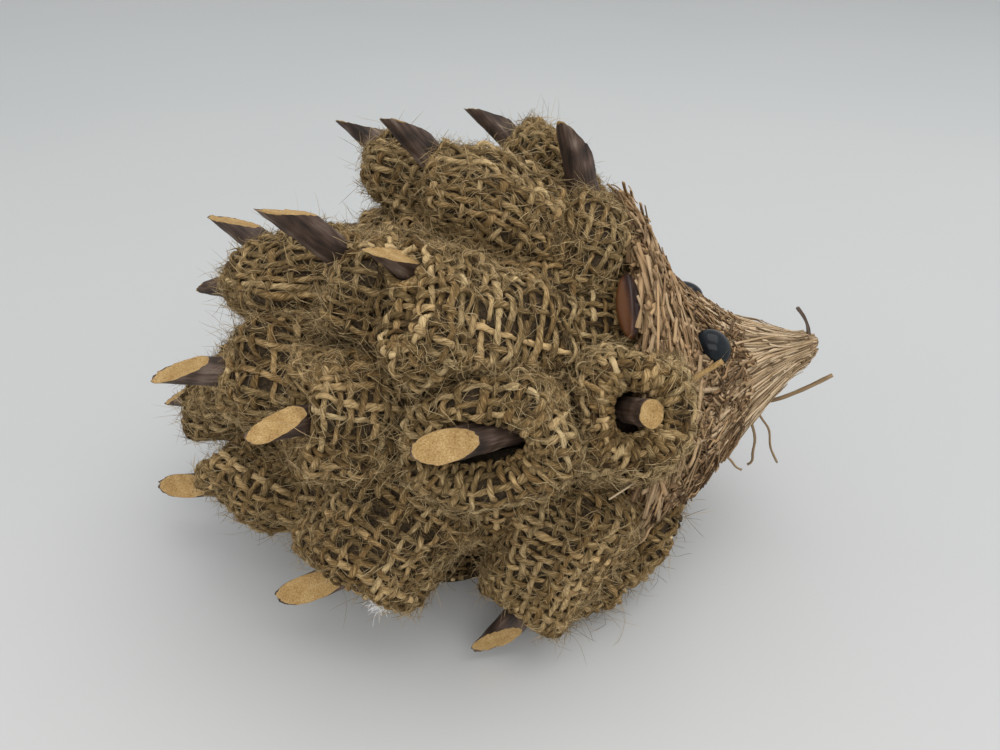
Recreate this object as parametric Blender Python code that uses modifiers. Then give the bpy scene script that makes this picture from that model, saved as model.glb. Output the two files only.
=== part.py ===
"""Hedgehog pin cushion: a stuffed ball body with burlap pouches, a slant-cut twig in each pouch, and a straw head.

Lengths in the tables are millimetres; MM turns them into metres. +X is towards the snout, +Z is up,
and the origin is the centre of the underside of the flat base patch.
"""

import math

import bmesh
import bpy
from mathutils import Matrix, Vector

MM = 0.001

# ---- driving dimensions (mm) ----
GAP = 0.3               # clearance between neighbouring pieces
AXIS_Z = 40.0           # height of the body's long axis
BODY_PROFILE = (        # outer skin: (station along X, radius round the axis)
    (-41.0, 0.0), (-40.0, 8.0), (-36.0, 17.0), (-29.0, 26.0), (-19.0, 34.0), (-8.0, 38.8),
    (3.0, 40.8), (14.0, 41.3), (27.0, 40.0), (37.0, 37.0), (43.0, 35.0),
)
BODY_REAR, BODY_FRONT = -41.0, 43.0
SKIN_T = 1.2            # burlap skin thickness
SKIN_FLOOR_Z = 1.3      # underside of the skin, above the base patch
NECK_HOLE_R = 30.0
BASE_HOLE_R = 24.0
BASE_R, BASE_T = 29.0, 1.0
TWIG_R = 3.0
LIP_REACH = 4.0         # the cloth lips reach this far along the twig past its foot
TWIG_SINK = 12.0        # length of twig held inside its pouch
TABLE_CLEAR = 0.5       # lowest point of the soft pouches

HEAD_AXIS = ((40.0, 39.0), (50.0, 38.0), (60.0, 37.5), (70.0, 40.0), (80.0, 44.5), (90.0, 49.0))
CHIN_SHARE = ((44.0, 0.84), (60.0, 1.06), (75.0, 1.10))     # the underside of the head is shallower than its top
EAR_R = (3.2, 7.2, 1.9)          # along X, round the neck, outwards
EYE_R = (4.2, 3.0, 3.6)
EYE_AT = (60.4, 13.8, 55.8)

# name, mouth of the pouch, twig direction, twig length out of the pouch, side the slant cut faces,
# slant of the cut in degrees, root of the pouch (forward reach, or the point itself), half width, half thickness,
# and how far the middle of the pouch's mouth lies from the twig's axis
SPINES = (
    ("01", (-11.6, 14.0, 91.0), (-0.73, 0.37, 0.58), 10.5, (0.0, 0.60, 0.80), 27, 20, 12.0, 9.5, (0.0, -2.0, -3.0)),
    ("02", (1.8, -4.0, 92.8), (-0.62, -0.08, 0.78), 12.5, (0.0, 0.75, 0.66), 27, 24, 13.5, 10.0, (1.0, -3.0, -2.0)),
    ("03", (17.8, 24.0, 89.0), (-0.71, 0.30, 0.64), 12.9, (0.0, 0.70, 0.70), 27, 19, 12.0, 9.5, (0.0, 0.0, 0.0)),
    ("04", (32.8, 6.0, 83.4), (-0.22, 0.09, 0.97), 14.8, (0.60, 0.70, 0.30), 27, (37.5, -15.0, 66.0), 12.0, 9.0, (1.0, -6.0, -3.0)),
    ("05", (-35.9, -4.0, 75.8), (-0.75, 0.20, 0.62), 10.5, (0.0, 0.50, 0.86), 27, 20, 13.0, 10.0, (0.0, -3.0, -5.0)),
    ("06", (-15.0, -30.0, 85.6), (-0.50, -0.45, 0.74), 14.4, (0.0, 0.40, 0.92), 27, 22, 12.5, 10.0, (0.0, -2.0, -5.0)),
    ("07", (-0.6, -34.0, 83.4), (-0.41, -0.57, 0.71), 10.3, (0.0, -0.05, 1.0), 27, (29.0, -31.0, 63.0), 15.0, 10.0, (3.0, -4.5, -8.0)),
    ("08", (-47.4, 12.0, 57.1), (-0.97, 0.25, 0.06), 10.2, (0.0, 0.85, 0.53), 27, (-28.0, 17.0, 60.0), 12.0, 10.0, (0.0, 0.0, -1.0)),
    ("09", (-37.8, -28.0, 58.2), (-0.89, -0.36, 0.29), 13.4, (0.0, -0.60, 0.80), 27, 25, 13.0, 10.5, (0.0, -0.5, 1.0)),
    ("10", (-58.4, 0.0, 34.0), (-0.96, 0.26, -0.08), 10.1, (0.0, -0.60, 0.80), 27, (-40.0, 0.0, 36.0), 12.5, 11.0, (0.0, 0.0, -1.0)),
    ("11", (-18.1, -48.0, 61.0), (-0.46, -0.78, 0.41), 11.9, (0.0, -0.60, 0.80), 27, 28, 14.0, 10.5, (0.0, -1.0, 1.5)),
    ("12", (15.0, -48.0, 58.5), (-0.79, -0.59, 0.18), 16.2, (0.0, -0.85, 0.53), 27, 17, 12.0, 10.0, (0.0, 0.0, 0.0)),
    ("13", (38.5, -43.0, 59.3), (0.05, -0.85, 0.53), 9.5, (0.8, -0.3, 0.0), 68, (37.5, -27.0, 50.0), 13.0, 12.5, (0.0, 0.0, 0.0)),
    ("14", (-51.0, -15.0, 19.0), (-0.99, -0.05, -0.02), 14.7, (0.0, -0.85, 0.53), 27, 30, 13.0, 10.5, (0.0, -1.0, 5.0)),
    ("15", (-16.8, -43.0, 19.0), (-0.91, -0.39, -0.15), 14.3, (0.1, -0.85, 0.50), 27, 30, 14.0, 10.5, (2.0, -2.0, 5.5)),
    ("16", (19.8, -45.5, 10.8), (-0.69, -0.56, -0.46), 12.7, (0.35, -0.90, 0.0), 27, (40.0, -34.0, 22.0), 14.5, 10.5, (2.5, -1.0, 6.5)),
    ("17", (-7.0, 38.0, 76.0), (-0.68, 0.53, 0.51), 12.5, (0.0, 0.55, 0.83), 27, 27, 14.0, 10.0, (1.0, 3.0, -5.0)),
    ("18", (14.0, 50.0, 55.0), (-0.72, 0.66, 0.20), 13.0, (0.0, 0.80, 0.60), 27, 24, 13.5, 10.5, (0.0, 0.0, 0.0)),
    ("19", (37.0, 43.0, 60.0), (-0.20, 0.82, 0.52), 11.0, (0.7, 0.3, 0.3), 40, (37.0, 27.0, 51.0), 12.5, 12.0, (0.0, 0.0, 0.0)),
    ("20", (-21.0, 45.0, 56.0), (-0.72, 0.66, 0.20), 13.0, (0.0, 0.75, 0.66), 27, 29, 14.0, 10.5, (0.0, 0.0, 0.0)),
    ("21", (-41.0, 27.0, 45.0), (-0.86, 0.48, 0.14), 13.0, (0.0, 0.80, 0.60), 27, 26, 12.5, 10.5, (0.0, 0.0, 0.0)),
    ("22", (-16.0, 44.0, 19.0), (-0.84, 0.52, -0.10), 13.5, (0.0, 0.85, 0.50), 27, 30, 14.0, 10.5, (2.0, 2.0, 5.0)),
    ("23", (20.0, 46.0, 15.0), (-0.78, 0.58, -0.20), 13.5, (0.0, 0.90, 0.40), 27, (40.0, 34.0, 23.0), 14.5, 10.5, (2.5, 1.0, 5.5)),
    ("24", (-49.0, 19.0, 18.5), (-0.96, 0.26, -0.05), 13.0, (0.0, 0.85, 0.50), 27, 27, 12.5, 10.5, (0.0, 1.0, 4.0)),
)


# ---- scene and materials ----
for old in list(bpy.data.objects):
    bpy.data.objects.remove(old, do_unlink=True)


def collection(name):
    made = bpy.data.collections.new(name)
    bpy.context.scene.collection.children.link(made)
    return made


PARTS = collection("hedgehog_pin_cushion")
CUTTERS = collection("cutters")


def material(name, colour, roughness, metallic=0.0):
    made = bpy.data.materials.new(name)
    made.use_nodes = True
    shader = made.node_tree.nodes["Principled BSDF"]
    shader.inputs["Base Color"].default_value = (*colour, 1.0)
    shader.inputs["Roughness"].default_value = roughness
    shader.inputs["Metallic"].default_value = metallic
    return made


BURLAP = material("burlap", (0.27, 0.19, 0.10), 0.95)
LINING = material("filling", (0.80, 0.79, 0.76), 0.95)
BARK = material("twig", (0.07, 0.045, 0.04), 0.75)
STRAW = material("straw", (0.42, 0.27, 0.14), 0.8)
POD = material("seed_pod", (0.16, 0.06, 0.03), 0.25)
BEAD = material("black_bead", (0.01, 0.012, 0.014), 0.08)


# ---- small helpers ----
def lerp_table(table, x):
    if x <= table[0][0]:
        return table[0][1]
    for (x0, y0), (x1, y1) in zip(table, table[1:]):
        if x <= x1:
            return y0 + (y1 - y0) * (x - x0) / (x1 - x0)
    return table[-1][1]


def skin_radius(x):
    return lerp_table(BODY_PROFILE, x)


def face_out(bm):
    bmesh.ops.recalc_face_normals(bm, faces=bm.faces)
    if bm.calc_volume(signed=True) < 0:
        bmesh.ops.reverse_faces(bm, faces=bm.faces)


def to_object(name, bm, mat, where=PARTS):
    mesh = bpy.data.meshes.new(name)
    face_out(bm)
    bm.to_mesh(mesh)
    bm.free()
    obj = bpy.data.objects.new(name, mesh)
    where.objects.link(obj)
    if mat:
        mesh.materials.append(mat)
        mesh.shade_smooth()
        mesh.set_sharp_from_angle(angle=math.radians(40))
    if where is CUTTERS:
        obj.hide_render = True
        obj.display_type = "WIRE"
    return obj


def cut(obj, cutter, operation="DIFFERENCE"):
    modifier = obj.modifiers.new("cut", "BOOLEAN")
    modifier.operation = operation
    modifier.solver = "EXACT"
    modifier.object = cutter


def bake(obj):
    """Apply the modifiers, so that later steps can read the real mesh."""
    bpy.context.view_layer.update()
    graph = bpy.context.evaluated_depsgraph_get()
    mesh = bpy.data.meshes.new_from_object(obj.evaluated_get(graph))
    obj.modifiers.clear()
    bm = bmesh.new()
    bm.from_mesh(mesh)
    bmesh.ops.remove_doubles(bm, verts=bm.verts, dist=2e-6)
    bmesh.ops.triangulate(bm, faces=bm.faces)
    bm.to_mesh(mesh)
    bm.free()
    obj.data = mesh


def keep_largest(bm):
    """A mid-plane may leave an offcut: keep the island that holds the most volume."""
    seen, islands = set(), []
    for face in bm.faces:
        if face in seen:
            continue
        stack, island = [face], []
        seen.add(face)
        while stack:
            here = stack.pop()
            island.append(here)
            for edge in here.edges:
                for other in edge.link_faces:
                    if other not in seen:
                        seen.add(other)
                        stack.append(other)
        islands.append(island)
    def bulk(island):
        return abs(sum(f.verts[0].co.dot(f.verts[i].co.cross(f.verts[i + 1].co)) for f in island for i in range(1, len(f.verts) - 1)))

    islands.sort(key=bulk)
    for island in islands[:-1]:
        bmesh.ops.delete(bm, geom=island, context="FACES")
    loose = [v for v in bm.verts if not v.link_faces]
    bmesh.ops.delete(bm, geom=loose, context="VERTS")


def halve(bm, point, normal):
    """Remove what lies on the normal's side of the plane, and close the cut."""
    geom = bm.verts[:] + bm.edges[:] + bm.faces[:]
    bmesh.ops.bisect_plane(bm, geom=geom, dist=1e-6, plane_co=point, plane_no=normal, clear_outer=True)
    rim = [e for e in bm.edges if e.is_boundary]
    if rim:
        bmesh.ops.holes_fill(bm, edges=rim)
    keep_largest(bm)


# ---- body: filling, skin and base ----
def body_form(inset, floor_z, rings=14, around=32):
    """The ball of the body as a sphere pushed to the profile, with a flat underside at floor_z."""
    bm = bmesh.new()
    bmesh.ops.create_uvsphere(bm, u_segments=around, v_segments=rings, radius=1.0)
    rear, front = BODY_REAR + inset, BODY_FRONT - inset
    for v in bm.verts:
        t = (1 - math.cos(math.acos(max(-1.0, min(1.0, v.co.z))))) / 2   # 0 at the front pole, 1 at the rear
        x = front + (rear - front) * t
        flat = math.hypot(v.co.x, v.co.y)
        r = max(0.0, skin_radius(BODY_FRONT + (BODY_REAR - BODY_FRONT) * t) - inset) if flat > 1e-6 else 0.0
        cy, cz = (v.co.x / flat, v.co.y / flat) if flat > 1e-6 else (0.0, 0.0)
        v.co = Vector((x, r * cy, max(floor_z, AXIS_Z + r * cz))) * MM
    return bm


core = to_object("foam_core", body_form(SKIN_T + 2 * GAP, SKIN_FLOOR_Z + SKIN_T + GAP), LINING)
skin = to_object("body_cover", body_form(0.0, SKIN_FLOOR_Z), BURLAP)
hollow = to_object("skin_hollow", body_form(SKIN_T, SKIN_FLOOR_Z + SKIN_T), None, CUTTERS)
cut(skin, hollow)
bake(skin)


def cylinder(name, radius, depth, at, axis, sides, mat=None, where=CUTTERS):
    bm = bmesh.new()
    bmesh.ops.create_cone(bm, cap_ends=True, segments=sides, radius1=radius * MM, radius2=radius * MM, depth=depth * MM)
    turn = Vector((0, 0, 1)).rotation_difference(Vector(axis)).to_matrix().to_4x4()
    bm.transform(Matrix.Translation(Vector(at) * MM) @ turn)
    return to_object(name, bm, mat, where)


cut(skin, cylinder("neck_hole", NECK_HOLE_R, 20, (BODY_FRONT, 0, AXIS_Z), (1, 0, 0), 31))
bake(skin)
cut(skin, cylinder("stuffing_hole", BASE_HOLE_R, 8, (0, 0, SKIN_FLOOR_Z), (0, 0, 1), 31))
bake(skin)
base = cylinder("base_patch", BASE_R, BASE_T, (0, 0, BASE_T / 2), (0, 0, 1), 40, BURLAP, PARTS)
skin_solid = to_object("skin_clearance", body_form(-3 * GAP, SKIN_FLOOR_Z - GAP), None, CUTTERS)


# ---- head: turned straw pieces on a curved axis ----
def turned(name, profile, mat, steps=28, where=PARTS):
    """Screw the profile (station X, radius) round X, then lift each station to the head's curved axis."""
    bm = bmesh.new()
    verts = [bm.verts.new((x * MM, 0.0, max(r, 0.0) * MM)) for x, r in profile]
    for a, b in zip(verts, verts[1:]):
        bm.edges.new((a, b))
    if profile[0][1] > 0 or profile[-1][1] > 0:
        bm.edges.new((verts[-1], verts[0]))
    obj = to_object(name, bm, mat, where)
    screw = obj.modifiers.new("turn", "SCREW")
    screw.axis = "X"
    screw.steps = screw.render_steps = steps
    screw.use_merge_vertices = True
    screw.merge_threshold = 0.00001
    screw.use_normal_calculate = True
    bake(obj)
    bm = bmesh.new()
    bm.from_mesh(obj.data)
    bmesh.ops.remove_doubles(bm, verts=bm.verts, dist=1e-6)
    for v in bm.verts:
        x = v.co.x / MM
        if v.co.z < 0:
            v.co.z *= lerp_table(CHIN_SHARE, x)
        v.co.z += lerp_table(HEAD_AXIS, x) * MM
    face_out(bm)
    bm.to_mesh(obj.data)
    bm.free()
    obj.data.shade_smooth()
    obj.data.set_sharp_from_angle(angle=math.radians(40))
    return obj


RUFF_OUT = ((44.0, 38.5), (50.0, 32.5), (55.0, 28.0), (60.0, 24.2))
MUZZLE_OUT = ((60.3, 23.8), (66.0, 18.0), (72.0, 12.3), (78.0, 7.6), (83.2, 4.1))
CORE_OUT = ((42.0, 0.0), (42.0, 24.0), (50.0, 22.0), (60.0, 17.5), (66.0, 13.0), (72.0, 8.6), (78.0, 4.8), (80.5, 0.0))

head_core = turned("head_core", CORE_OUT, STRAW)
core_room = turned("head_core_room", tuple((x + (GAP if r == 0 and x > 60 else 0), r + GAP if r else 0.0) for x, r in CORE_OUT), None, where=CUTTERS)
ruff = turned("straw_ruff", RUFF_OUT + ((60.0, 18.6), (50.0, 23.1), (44.0, 24.6)), STRAW)
muzzle = turned("straw_muzzle", ((60.3, 0.0),) + MUZZLE_OUT + ((83.2, 0.0),), STRAW)
cut(muzzle, core_room)
binding = turned("nose_binding", ((83.5, 0.0), (83.5, 4.0), (86.0, 3.4), (88.2, 2.2), (88.8, 0.0)), STRAW, 16)


def ellipsoid(name, semi, at, turn, mat, where=PARTS, u=16, v=10, grow=0.0):
    bm = bmesh.new()
    bmesh.ops.create_uvsphere(bm, u_segments=u, v_segments=v, radius=1.0)
    size = Matrix.Diagonal((*[(s + grow) * MM for s in semi], 1.0))
    bm.transform(Matrix.Translation(Vector(at) * MM) @ turn @ size)
    return to_object(name, bm, mat, where)


# ---- eyes ----
for side, sign in (("right", -1), ("left", 1)):
    at = (EYE_AT[0], sign * EYE_AT[1], EYE_AT[2])
    outward = Vector((0.35, sign * 0.62, 0.75)).normalized()
    turn = Vector((0, 1, 0)).rotation_difference(outward).to_matrix().to_4x4()
    ellipsoid("eye_" + side, EYE_R, at, turn, BEAD)
    room = ellipsoid("eye_room_" + side, EYE_R, at, turn, None, CUTTERS, grow=GAP)
    cut(ruff, room)
    cut(muzzle, room)

# ---- ears: cupped seed-pod petals standing at the neck ----
EAR_ROOMS = []
for side, sign in (("right", -1), ("left", 1)):
    at = (40.2, sign * 26.0, 71.5)
    turn = Matrix.Rotation(sign * math.radians(-37), 4, "X") @ Matrix.Rotation(math.radians(6), 4, "Y")
    ellipsoid("ear_" + side, EAR_R, at, turn, POD)
    room = ellipsoid("ear_room_" + side, EAR_R, at, turn, None, CUTTERS, grow=GAP)
    EAR_ROOMS.append(room)
    cut(ruff, room)

# ---- the dark stem that stands on the snout ----
stem_foot, stem_top = Vector((86.0, 0.0, 51.6)), Vector((82.2, 0.0, 57.6))
stem_line = bpy.data.curves.new("nose_stem", "CURVE")
stem_line.dimensions = "3D"
stem_line.bevel_depth = 0.6 * MM
stem_line.bevel_resolution = 1
stem_line.use_fill_caps = True
spline = stem_line.splines.new("POLY")
spline.points.add(2)
for i, bow in enumerate((0.0, 0.6, 0.0)):
    p = stem_foot.lerp(stem_top, i / 2) + Vector((bow, 0, 0))
    spline.points[i].co = (*(p * MM), 1.0)
stem = bpy.data.objects.new("nose_stem", stem_line)
stem_line.materials.append(BARK)
PARTS.objects.link(stem)
bake_mesh = bpy.data.meshes.new_from_object(stem.evaluated_get(bpy.context.evaluated_depsgraph_get()))
bm = bmesh.new()
bm.from_mesh(bake_mesh)
bmesh.ops.remove_doubles(bm, verts=bm.verts, dist=1e-7)
PARTS.objects.unlink(stem)
bpy.data.objects.remove(stem)
stem = to_object("nose_stem", bm, BARK)


# ---- twigs and pouches ----
def off_axis(p):
    return math.hypot(p.y, p.z - AXIS_Z)


class Spine:
    def __init__(self, row):
        self.name, mouth, way, self.out, facing, self.slant, root, self.a, self.b, shift = row
        self.mouth, self.way = Vector(mouth), Vector(way).normalized()
        facing = Vector(facing)
        self.facing = (facing - self.way * facing.dot(self.way)).normalized()
        self.radial = Vector((0.0, mouth[1], mouth[2] - AXIS_Z)).normalized()
        if isinstance(root, tuple):
            self.root = Vector(root)
        else:
            x = self.mouth.x + root
            self.root = Vector((x, 0, AXIS_Z)) + self.radial * (skin_radius(x) + 0.35 * self.b)
        self.lip = self.mouth + self.way * LIP_REACH + Vector(shift)
        length = (self.lip - self.root).length
        self.knee = self.lip - self.way * min(length * 0.5, 14.0)
        least = skin_radius(self.knee.x) + 0.6 * self.b
        if off_axis(self.knee) < least:
            out = Vector((0, self.knee.y, self.knee.z - AXIS_Z)).normalized()
            self.knee += out * (least - off_axis(self.knee))
        steep = max(abs(self.radial.dot(self.tangent(t))) for t in (0.0, 0.5, 1.0))
        self.upward = Vector((-1, 0, 0)) if steep > 0.85 else self.radial
        self.sink = TWIG_SINK
        while self.sink > 2 and off_axis(self.mouth - self.way * self.sink) < skin_radius((self.mouth - self.way * self.sink).x) + TWIG_R + 2 * GAP:
            self.sink -= 0.5

    def point(self, t):
        return self.root * (1 - t) ** 2 + self.knee * 2 * t * (1 - t) + self.lip * t * t

    def tangent(self, t):
        return ((self.knee - self.root) * (1 - t) + (self.lip - self.knee) * t).normalized()

    def frame(self, t):
        along = self.tangent(t)
        up = (self.upward - along * self.upward.dot(along)).normalized()
        return along, along.cross(up).normalized(), up

    def axis_points(self):
        return [(self.point(i / 6), 1.0 if i < 5 else 0.8) for i in range(7)] + [
            (self.mouth + self.way * d, 0.38) for d in (4, 8, 12)
        ]

    def solid(self):
        """A capsule primitive whose stations are laid along the pouch's curved centre line."""
        bm = bmesh.new()
        bmesh.ops.create_uvsphere(bm, u_segments=14, v_segments=9, radius=1.0)
        for v in bm.verts:
            t = (v.co.z + 1) / 2
            round_off = math.hypot(v.co.x, v.co.y)
            swell = round_off ** 0.45 if round_off > 1e-6 else 0.0
            dx, dy = (v.co.x / round_off, v.co.y / round_off) if round_off > 1e-6 else (0.0, 0.0)
            taper = 1.08 - 0.34 * t
            along, across, up = self.frame(t)
            p = self.point(t) + across * (dx * swell * self.a * taper) + up * (dy * swell * self.b * taper)
            v.co = p
        return bm

    def rod(self, radius, start, end, sides=10):
        bm = bmesh.new()
        bmesh.ops.create_cone(bm, cap_ends=True, segments=sides, radius1=radius, radius2=radius, depth=end - start)
        turn = Vector((0, 0, 1)).rotation_difference(self.way).to_matrix().to_4x4()
        bm.transform(Matrix.Translation(self.mouth + self.way * (start + end) / 2) @ turn)
        return bm


def finish(name, bm, mat, where=PARTS):
    bm.transform(Matrix.Scale(MM, 4))
    return to_object(name, bm, mat, where)


spines = [Spine(row) for row in SPINES]

twig_rooms = []
for s in spines:
    bm = s.rod(TWIG_R, -s.sink, s.out)
    slant = math.radians(s.slant)
    tip = s.mouth + s.way * s.out - s.facing * TWIG_R * 0.98
    halve(bm, tip, (s.facing * math.cos(slant) + s.way * math.sin(slant)).normalized())
    finish("twig_" + s.name, bm, BARK)
    room = finish("twig_room_" + s.name, s.rod(TWIG_R + GAP, -s.sink - GAP, s.out + 3), None, CUTTERS)
    twig_rooms.append(room)

for i, s in enumerate(spines):
    bm = s.solid()
    for j, o in enumerate(spines):
        if i == j:
            continue
        best = None
        for p, wp in s.axis_points():
            for q, wq in o.axis_points():
                d = (q - p).length / (s.a * wp + o.a * wq)
                if best is None or d < best[0]:
                    best = (d, p, q, s.a * wp, o.a * wq)
        d, p, q, wp, wq = best
        if d > 1.25 or (q - p).length < 0.5:
            continue
        normal = (q - p).normalized()
        at = p + (q - p) * (wp / (wp + wq)) - normal * GAP / 2
        halve(bm, at, normal)
    halve(bm, Vector((0, 0, TABLE_CLEAR)), Vector((0, 0, -1)))
    bmesh.ops.triangulate(bm, faces=bm.faces)
    obj = finish("pouch_" + s.name, bm, BURLAP)
    cut(obj, skin_solid)
    middle = s.point(0.6)
    for j, o in enumerate(spines):
        near = min((o.mouth + o.way * t - s.point(u)).length for t in (-s.sink, -6, 0, 6, 12) for u in (0.1, 0.3, 0.5, 0.7, 0.9))
        if i == j or near < 15:
            cut(obj, twig_rooms[j])
    if s.mouth.x > -5 and s.mouth.z > 50:
        cut(obj, EAR_ROOMS[0 if s.root.y < 0 else 1])
    if s.mouth.x > 12:
        room = bpy.data.objects.get("ruff_room") or turned(
            "ruff_room", ((43.7, 0.0), (43.7, 39.3), (44.2, 39.5), (50.3, 33.4), (60.3, 25.4), (60.3, 0.0)), None, where=CUTTERS
        )
        cut(obj, room)
    bake(obj)
    bm = bmesh.new()
    bm.from_mesh(obj.data)
    keep_largest(bm)
    bm.to_mesh(obj.data)
    bm.free()
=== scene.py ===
"""Looks of the hedgehog pin cushion: burlap pouches woven yarn by yarn, cut twigs, a straw head, bead eyes and seed-pod ears.

Everything is worked out in millimetres in the CAD frame and written to the meshes in metres.
"""

import math

import bpy
import numpy as np
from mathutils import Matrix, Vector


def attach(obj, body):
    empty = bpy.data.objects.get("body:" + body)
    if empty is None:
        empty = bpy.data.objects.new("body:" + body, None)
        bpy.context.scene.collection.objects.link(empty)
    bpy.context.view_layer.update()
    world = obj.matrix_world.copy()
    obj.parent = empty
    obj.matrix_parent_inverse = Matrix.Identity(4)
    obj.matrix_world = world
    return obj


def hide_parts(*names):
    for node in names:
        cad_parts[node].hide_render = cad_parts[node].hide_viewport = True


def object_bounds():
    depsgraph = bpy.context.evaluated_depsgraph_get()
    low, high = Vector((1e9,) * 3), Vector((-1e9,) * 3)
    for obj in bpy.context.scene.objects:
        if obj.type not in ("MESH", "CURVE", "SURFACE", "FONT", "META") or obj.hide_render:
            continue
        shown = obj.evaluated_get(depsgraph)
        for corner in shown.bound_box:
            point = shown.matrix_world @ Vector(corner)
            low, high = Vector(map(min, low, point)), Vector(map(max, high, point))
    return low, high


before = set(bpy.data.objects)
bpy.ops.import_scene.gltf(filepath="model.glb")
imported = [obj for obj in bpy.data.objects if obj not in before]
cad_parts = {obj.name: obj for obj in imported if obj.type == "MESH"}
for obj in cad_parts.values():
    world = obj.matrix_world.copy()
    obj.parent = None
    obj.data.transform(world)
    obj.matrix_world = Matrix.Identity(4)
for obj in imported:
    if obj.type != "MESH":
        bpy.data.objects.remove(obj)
CAD_BOX = [[float(x) for x in corner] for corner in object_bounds()]
MM = 0.001
TAU = 2 * math.pi
BOX_LOW = np.array(CAD_BOX[0]) / MM - 9.0
BOX_HIGH = np.array(CAD_BOX[1]) / MM + 9.0
BOX_LOW[2] = 0.0

# ---------------------------------------------------------------- camera
camera_data = bpy.data.cameras.new("camera")
camera_data.sensor_width = 36.0
camera_data.lens = 27.18
camera_data.clip_start = 0.005
camera_data.clip_end = 20.0
camera = bpy.data.objects.new("camera", camera_data)
camera.location = (0.015, -0.15265, 0.135385)
camera.rotation_euler = (math.radians(58.0), 0.0, 0.0)
bpy.context.scene.collection.objects.link(camera)
bpy.context.scene.camera = camera
bpy.context.scene.view_settings.view_transform = "Standard"

# ---------------------------------------------------------------- numbers shared with the CAD (mm)
AXIS_Z = 40.0
BODY = np.array(((-41, 0), (-40, 8), (-36, 17), (-29, 26), (-19, 34), (-8, 38.8), (3, 40.8), (14, 41.3), (27, 40), (37, 37), (43, 35)), float)
HEAD_AXIS = np.array(((40, 39), (50, 38), (60, 37.5), (70, 40), (80, 44.5), (90, 49)), float)
CHIN = np.array(((44, 0.84), (60, 1.06), (75, 1.10)), float)
CROWN = np.array(((44, 1.0), (50, 0.95), (54, 0.84), (58, 0.84), (62, 0.85), (67, 0.87), (74, 0.95), (82, 1.0)), float)
HEAD_R = np.array(((40, 39.5), (44, 38.5), (50, 32.5), (55, 28), (60, 24.2), (66, 18), (72, 12.3), (78, 7.6), (83.2, 4.1), (86, 3.4), (88.2, 2.2), (88.8, 0.6)), float)
TWIG_R, TWIG_SINK, LIP_REACH = 3.0, 12.0, 4.0

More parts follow.
